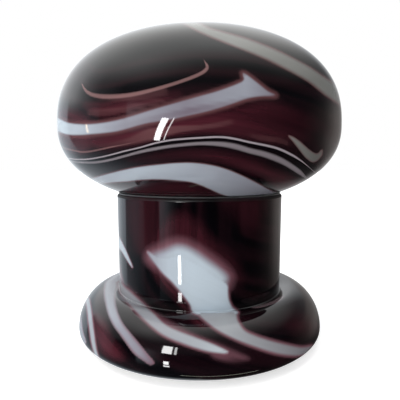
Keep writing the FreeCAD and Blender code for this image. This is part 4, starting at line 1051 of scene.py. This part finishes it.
looks = {
    "zincSteel": {
        "shader": {"Metallic": 1.0}, "fine": 1400.0, "blotch": 90.0, "shine": (0.22, 0.42), "depth": 0.12,
        "first": (0.56, 0.57, 0.58), "second": (0.47, 0.48, 0.47), "stretch": (1, 1, 0.2),
        "slot": "zinc_steel",
    },
    "plainBrass": {
        "shader": {"Metallic": 1.0}, "fine": 1200.0, "blotch": 120.0, "shine": (0.18, 0.38), "depth": 0.1,
        "first": (0.66, 0.45, 0.18), "second": (0.52, 0.34, 0.12), "slot": "plain_brass",
    },
    "blackSteel": {
        "shader": {"IOR": 1.5}, "fine": 1900.0, "blotch": 60.0, "shine": (0.34, 0.5), "depth": 0.25,
        "first": (0.018, 0.018, 0.019), "second": (0.028, 0.028, 0.028), "slot": "black_steel",
    },
    "blackRubber": {
        "shader": {"IOR": 1.5}, "fine": 1500.0, "blotch": 80.0, "shine": (0.6, 0.8), "depth": 0.2,
        "first": (0.016, 0.016, 0.016), "second": (0.026, 0.025, 0.024), "slot": "black_rubber",
    },
    "blackPlastic": {
        "shader": {"IOR": 1.46}, "fine": 2400.0, "blotch": 70.0, "shine": (0.38, 0.55), "depth": 0.3,
        "first": (0.017, 0.017, 0.018), "second": (0.024, 0.024, 0.024), "slot": "black_plastic",
    },
    "porcelain": {
        "shader": {"IOR": 1.52, "Coat Weight": 0.6, "Coat Roughness": 0.06},
        "fine": 700.0, "blotch": 110.0, "shine": (0.2, 0.34), "depth": 0.05,
        "first": (0.76, 0.74, 0.69), "second": (0.68, 0.66, 0.60), "slot": "porcelain",
    },
    "capAluminium": {
        "shader": {"Metallic": 1.0}, "fine": 1600.0, "blotch": 140.0, "shine": (0.16, 0.34), "depth": 0.08,
        "first": (0.74, 0.75, 0.76), "second": (0.64, 0.65, 0.66), "slot": "cap_aluminium",
    },
    "blackGlass": {
        "shader": {"IOR": 1.55}, "fine": 900.0, "blotch": 90.0, "shine": (0.05, 0.14), "depth": 0.03,
        "first": (0.008, 0.008, 0.011), "second": (0.013, 0.012, 0.016), "slot": "black_glass",
    },
    "solder": {
        "shader": {"Metallic": 1.0}, "fine": 1100.0, "blotch": 260.0, "shine": (0.3, 0.5), "depth": 0.3,
        "first": (0.58, 0.58, 0.57), "second": (0.44, 0.44, 0.44), "slot": "solder",
    },
    "phosphor": {
        "shader": {"IOR": 1.45}, "fine": 2600.0, "blotch": 400.0, "shine": (0.55, 0.75), "depth": 0.3,
        "first": (0.76, 0.52, 0.08), "second": (0.68, 0.44, 0.05), "slot": "phosphor",
    },
    "board": {
        "shader": {"IOR": 1.5}, "fine": 1500.0, "blotch": 300.0, "shine": (0.3, 0.5), "depth": 0.15,
        "first": (0.03, 0.14, 0.06), "second": (0.024, 0.11, 0.05), "slot": "board",
    },
    "clearGlass": {
        "shader": {"IOR": 1.46, "Transmission Weight": 1.0},
        "fine": 120.0, "blotch": 30.0, "shine": (0.0, 0.03), "depth": 0.05,
        "first": (0.97, 0.985, 0.98), "second": (0.94, 0.965, 0.96), "slot": "clear_glass",
    },
    # the seat ring's silicone is coloured dark smoky grey, not clear: painted shade for the joint under the
    # cap
    "siliconeInPaintedShade": {
        "shader": {"IOR": 1.41, "Transmission Weight": 0.4},
        "fine": 800.0, "blotch": 120.0, "shine": (0.28, 0.42), "depth": 0.1,
        "first": (0.13, 0.13, 0.135), "second": (0.08, 0.08, 0.085), "slot": "clear_silicone",
    },
}


def makeFelt():
    # pressed wool: crossing fibres in two scales, and a soft sheen
    material, tree, shader = newMaterial("greyFelt", Sheen_Weight=0.5, Sheen_Roughness=0.6)
    place = objectPlace(tree)
    first = noise(tree, stretched(tree, place, (1, 0.25, 1), (0, 0, 0.5)), 900.0, 3.0, 0.7, 1.2)
    second = noise(tree, stretched(tree, place, (0.25, 1, 1), (0, 0, -0.4)), 1100.0, 3.0, 0.7, 1.2)
    fibres = calculate(tree, "MAXIMUM", first, second)
    tufts = noise(tree, place, 160.0, 3.0)
    shade = calculate(tree, "ADD", calculate(tree, "MULTIPLY", fibres, 0.6),
                      calculate(tree, "MULTIPLY", tufts, 0.4))
    link(tree, mixColours(tree, spread(tree, shade, 0.35, 0.7), (0.011, 0.011, 0.012), (0.034, 0.034, 0.034)),
         shader.inputs["Base Color"])
    link(tree, spread(tree, fibres, 0.2, 0.8, 0.8, 0.97), shader.inputs["Roughness"])
    link(tree, raised(tree, fibres, 0.7, 0.0006), shader.inputs["Normal"])
    return material


# Felt ring under the plate: a soft washer with rounded, slightly fuzzy edges

feltLow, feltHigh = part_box("felt_ring")
feltRing = {
    "outer": feltHigh.x,
    "inner": 0.068,
    "thickness": feltHigh.z,
    "edgeRound": 0.0007,
    "ripple": 0.00012,
    "waves": (7, 16, 31, 53),
    "turns": 360,
    "seed": 4,
}


def feltOutline():
    outer, inner, thick, edge = (feltRing[k] for k in ("outer", "inner", "thickness", "edgeRound"))
    return joined([
        evenly([(inner + edge, 0), (outer - edge, 0)], 10),
        roundCorner((outer - edge, 0), (outer, 0), (outer, edge), 4),
        roundCorner((outer, thick - edge), (outer, thick), (outer - edge, thick), 4),
        evenly([(outer - edge, thick), (inner + edge, thick)], 10),
        roundCorner((inner + edge, thick), (inner, thick), (inner, thick - edge), 4),
        roundCorner((inner, edge), (inner, 0), (inner + edge, 0), 4),
    ])


def makeFeltRing():
    ring = turnGlass("feltRing", feltOutline(), feltRing["turns"], makeFelt())
    faceOutwards(ring.data)
    # pressed felt isn't cut dead round: its edges wander a little
    chance = np.random.default_rng(feltRing["seed"])
    waves = feltRing["waves"]
    phases = chance.uniform(0, 2 * math.pi, len(waves))
    places = vertexPlaces(ring.data)
    angle = np.arctan2(places[:, 1], places[:, 0])
    radius = np.hypot(places[:, 0], places[:, 1])
    wave = sum(np.sin(angle * n + phase) for n, phase in zip(waves, phases)) / len(waves)
    middle = (feltRing["outer"] + feltRing["inner"]) / 2
    share = (radius - middle) / (feltRing["outer"] - middle)
    places[:, :2] *= (1 - feltRing["ripple"] * np.abs(share * (1 + wave)) / radius)[:, None]
    ring.data.vertices.foreach_set("co", places.ravel().astype(np.float32))
    ring.data.update()
    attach(ring, "lamp")
    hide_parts("felt_ring")
    print("felt ring:", len(ring.data.polygons), "faces")


makeFeltRing()


# Finish on the pieces that keep their CAD shape

def dressNodes():
    materials = {look["slot"]: makeWornMaterial(name, look) for name, look in looks.items()}
    for part in frame["record"]["subparts"]:
        slot = part["material_slot"]
        if slot not in materials:
            continue
        data = nodes[part["node"]].data
        data.materials.clear()
        data.materials.append(materials[slot])
    print("finished", len(materials), "materials")


dressNodes()


# Floor, light and surroundings

studio = {
    "floorSize": 60.0,
    "floorColour": (0.93, 0.93, 0.93),
    "floorLift": 0.6,
    "behind": (0.95, 0.97, 1.0),
    "overheadFront": (0.15, 0.155, 0.15),
    "overheadBack": (1.6, 1.62, 1.6),
    "overheadRight": (0.8, 0.8, 0.78),
    "fill": (0.5, 0.5, 0.5),
    "overheadSpan": (0.4, 0.85),  # where one part of the surroundings gives way to the next, by direction
    "upperSpan": (0.12, 0.3),
    "lowerSpan": (-0.1, -0.4),
    "rearSpan": (-0.85, 0.0),
    "rightSpan": (0.2, 0.7),
    "leftPull": 0.35,
    "sideTint": (0.16, 0.0, -0.1),
    # brightness round the horizon, by degrees from the camera's side, right-hand positive
    "horizon": ((-180, 1.0), (-121, 0.95), (-118, 0.22), (-108, 0.26), (-92, 0.34), (-80, 0.2), (-77, 0.03),
                (-55, 0.02), (-53, 0.72), (-44, 0.55), (-36, 0.18), (-28, 0.01), (80, 0.01), (95, 0.06),
                (108, 0.12), (118, 0.24), (127, 0.32), (140, 0.3), (155, 0.38), (180, 1.0)),
    "upper": ((-180, 1.3), (-128, 1.45), (-112, 1.4), (-98, 0.85), (-84, 0.4), (-60, 0.12), (60, 0.04),
              (100, 0.04), (140, 0.2), (180, 1.3)),
    "lower": ((-180, 0.9), (-135, 0.66), (-115, 0.4), (-90, 0.16), (-50, 0.06), (60, 0.02), (100, 0.03),
              (148, 0.05), (165, 0.3), (180, 0.9)),
    "shadowReach": 0.13,
    "whiteFrom": 0.5,
}

lamps = (
    {"name": "softAbove", "place": (-0.35, -0.35, 1.25), "aim": (0, 0, 0.1), "size": (1.2, 1.2),
     "power": 11.0},
    {"name": "leftFront", "place": (-0.9, -0.9, 0.35), "aim": (0, 0, 0.12), "size": (0.5, 0.9),
     "power": 9.5},
    {"name": "rightFill", "place": (1.1, -0.5, 0.5), "aim": (0, 0, 0.12), "size": (0.8, 0.8),
     "power": 2.0},
)

# bright window strips that only one polished glass piece mirrors; azimuth is from the camera's side, right
# positive, and a strip stands 0.45 m from the axis where it names no other distance
windowDistance = 0.45
windows = (
    {"name": "shadeWindow", "azimuth": -25.5, "width": 0.034, "low": -0.10, "high": 0.176, "lean": -17.0,
     "radiance": 26.0, "mirroredBy": "marbledShade"},
    {"name": "shadeWindowEdge", "azimuth": -20.2, "width": 0.006, "low": -0.10, "high": 0.176,
     "lean": -17.0, "radiance": 16.0, "mirroredBy": "marbledShade"},
    {"name": "columnWindow", "azimuth": -24.4, "width": 0.029, "low": -0.0608, "high": -0.0165,
     "radiance": 24.0, "mirroredBy": "marbledBase"},
    {"name": "columnWindowLow", "azimuth": -24.4, "width": 0.034, "low": -0.0965, "high": -0.0751,
     "radiance": 20.0, "mirroredBy": "marbledBase"},
    {"name": "footWindow", "azimuth": -24.5, "width": 0.060, "low": 0.09, "high": 0.2, "radiance": 20.0,
     "mirroredBy": "marbledBase"},
    {"name": "footWindowEdge", "azimuth": -18.0, "width": 0.014, "low": 0.09, "high": 0.2,
     "radiance": 12.0, "mirroredBy": "marbledBase"},
    {"name": "warmWindow", "azimuth": -81.0, "width": 0.012, "low": 0.1, "high": 0.17, "radiance": 9.0,
     "colour": (1.0, 0.72, 0.42), "mirroredBy": "marbledShade"},
    {"name": "floorGlint", "azimuth": 20.0, "distance": 0.35, "width": 0.55, "low": -0.46, "high": -0.42,
     "radiance": 6.0, "colour": (0.95, 1.0, 0.8), "mirroredBy": "marbledBase"},
)


def makeFloor():
    half = studio["floorSize"] / 2
    mesh = bpy.data.meshes.new("floor")
    corners = [(-half, -half, 0), (half, -half, 0), (half, half, 0), (-half, half, 0)]
    mesh.from_pydata(corners, [], [(0, 1, 2, 3)])
    floor = newObject("floor", mesh)
    material, tree, shader = newMaterial("paleFloor", Roughness=0.9, Specular_IOR_Level=0.0)
    shader.inputs["Base Color"].default_value = (*studio["floorColour"], 1)
    shader.inputs["Emission Color"].default_value = (1, 1, 1, 1)
    # the camera sees the floor a little lifted near the lamp, and plain white away from its shadow
    away = shaderNode(tree, "ShaderNodeVectorMath", operation="LENGTH")
    link(tree, objectPlace(tree), away.inputs[0])
    lift = spread(tree, away.outputs["Value"], studio["shadowReach"], studio["whiteFrom"],
                  studio["floorLift"], 1.0)
    seen = shaderNode(tree, "ShaderNodeLightPath").outputs["Is Camera Ray"]
    link(tree, calculate(tree, "MULTIPLY", seen, lift), shader.inputs["Emission Strength"])
    mesh.materials.append(material)
    floor.visible_glossy = False


def makeWorld():
    world = bpy.data.worlds.new("studio")
    bpy.context.scene.world = world
    world.use_nodes = True
    tree = world.node_tree
    background = tree.nodes["Background"]
    direction = shaderNode(tree, "ShaderNodeSeparateXYZ")
    link(tree, shaderNode(tree, "ShaderNodeTexCoord").outputs["Generated"], direction.inputs[0])
    x, y, z = direction.outputs
    azimuth = calculate(tree, "ARCTAN2", x, calculate(tree, "MULTIPLY", y, -1.0))
    share = calculate(tree, "ADD", calculate(tree, "DIVIDE", azimuth, 2 * math.pi), 0.5)
    around = []
    # low down the room is cooler on the left and warmer on the right
    for stops, tinted in ((studio["horizon"], 1), (studio["upper"], 0), (studio["lower"], 1)):
        ramp = shaderNode(tree, "ShaderNodeValToRGB")
        link(tree, share, ramp.inputs[0])
        elements = ramp.color_ramp.elements
        elements.remove(elements[1])
        for number, (degrees, level) in enumerate(stops):
            element = elements[0] if number == 0 else elements.new(degrees / 360 + 0.5)
            element.position = degrees / 360 + 0.5
            lean = tinted * math.sin(math.radians(degrees))
            element.color = (*(level * c * (1 + lean * tint)
                               for c, tint in zip(studio["behind"], studio["sideTint"])), 1)
        around.append(ramp.outputs["Color"])
    level, upper, lower = around
    mirrored = mixColours(tree, spread(tree, z, *studio["upperSpan"]), level, upper)
    mirrored = mixColours(tree, spread(tree, z, *studio["lowerSpan"]), mirrored, lower)
    # overhead it is dark above the camera and bright above the far side, more so to the left
    rearwards = calculate(tree, "SUBTRACT", y, calculate(tree, "MULTIPLY", x, studio["leftPull"]))
    overheadBack = mixColours(tree, spread(tree, x, *studio["rightSpan"]), studio["overheadBack"],
                              studio["overheadRight"])
    overhead = mixColours(tree, spread(tree, rearwards, *studio["rearSpan"]), studio["overheadFront"],
                          overheadBack)
    mirrored = mixColours(tree, spread(tree, z, *studio["overheadSpan"]), mirrored, overhead)
    path = shaderNode(tree, "ShaderNodeLightPath")
    seen = mixColours(tree, path.outputs["Is Glossy Ray"], studio["fill"], mirrored)
    clear = calculate(tree, "MAXIMUM", path.outputs["Is Camera Ray"], path.outputs["Is Transmission Ray"])
    link(tree, mixColours(tree, clear, seen, (1.0, 1.0, 1.0)), background.inputs["Color"])


def aimed(place, target):
    turn = (Vector(target) - Vector(place)).to_track_quat("-Z", "Y")
    return Matrix.Translation(place) @ turn.to_matrix().to_4x4()


def makeAreaLight(name, matrix, size, power, colour=(1, 1, 1)):
    light = bpy.data.lights.new(name, "AREA")
    light.shape = "RECTANGLE"
    light.size, light.size_y = size
    light.energy, light.color = power, colour
    lamp = bpy.data.objects.new(name, light)
    lamp.matrix_world = matrix
    lamp.visible_camera = False
    bpy.context.scene.collection.objects.link(lamp)
    return lamp


def makeLights():
    for lamp in lamps:
        made = makeAreaLight(lamp["name"], aimed(lamp["place"], lamp["aim"]), lamp["size"], lamp["power"])
        made.visible_glossy = False
    for window in windows:
        angle = math.radians(window["azimuth"])
        reach = window.get("distance", windowDistance)
        middle = (window["low"] + window["high"]) / 2
        place = (math.sin(angle) * reach, -math.cos(angle) * reach, middle)
        size = (window["width"], window["high"] - window["low"])
        power = window["radiance"] * math.pi * size[0] * size[1]
        lean = Matrix.Rotation(math.radians(window.get("lean", 0)), 4, "Z")
        made = makeAreaLight(window["name"], aimed(place, (0, 0, middle)) @ lean, size, power,
                             window.get("colour", (1, 1, 1)))
        made.visible_diffuse = False
        made.visible_transmission = False
        receivers = bpy.data.collections.new(window["name"] + "Receivers")
        receivers.objects.link(bpy.data.objects[window["mirroredBy"]])
        made.light_linking.receiver_collection = receivers
    print("lights:", len(lamps) + len(windows))


makeFloor()
makeWorld()
makeLights()
bpy.context.scene.view_settings.view_transform = "Standard"
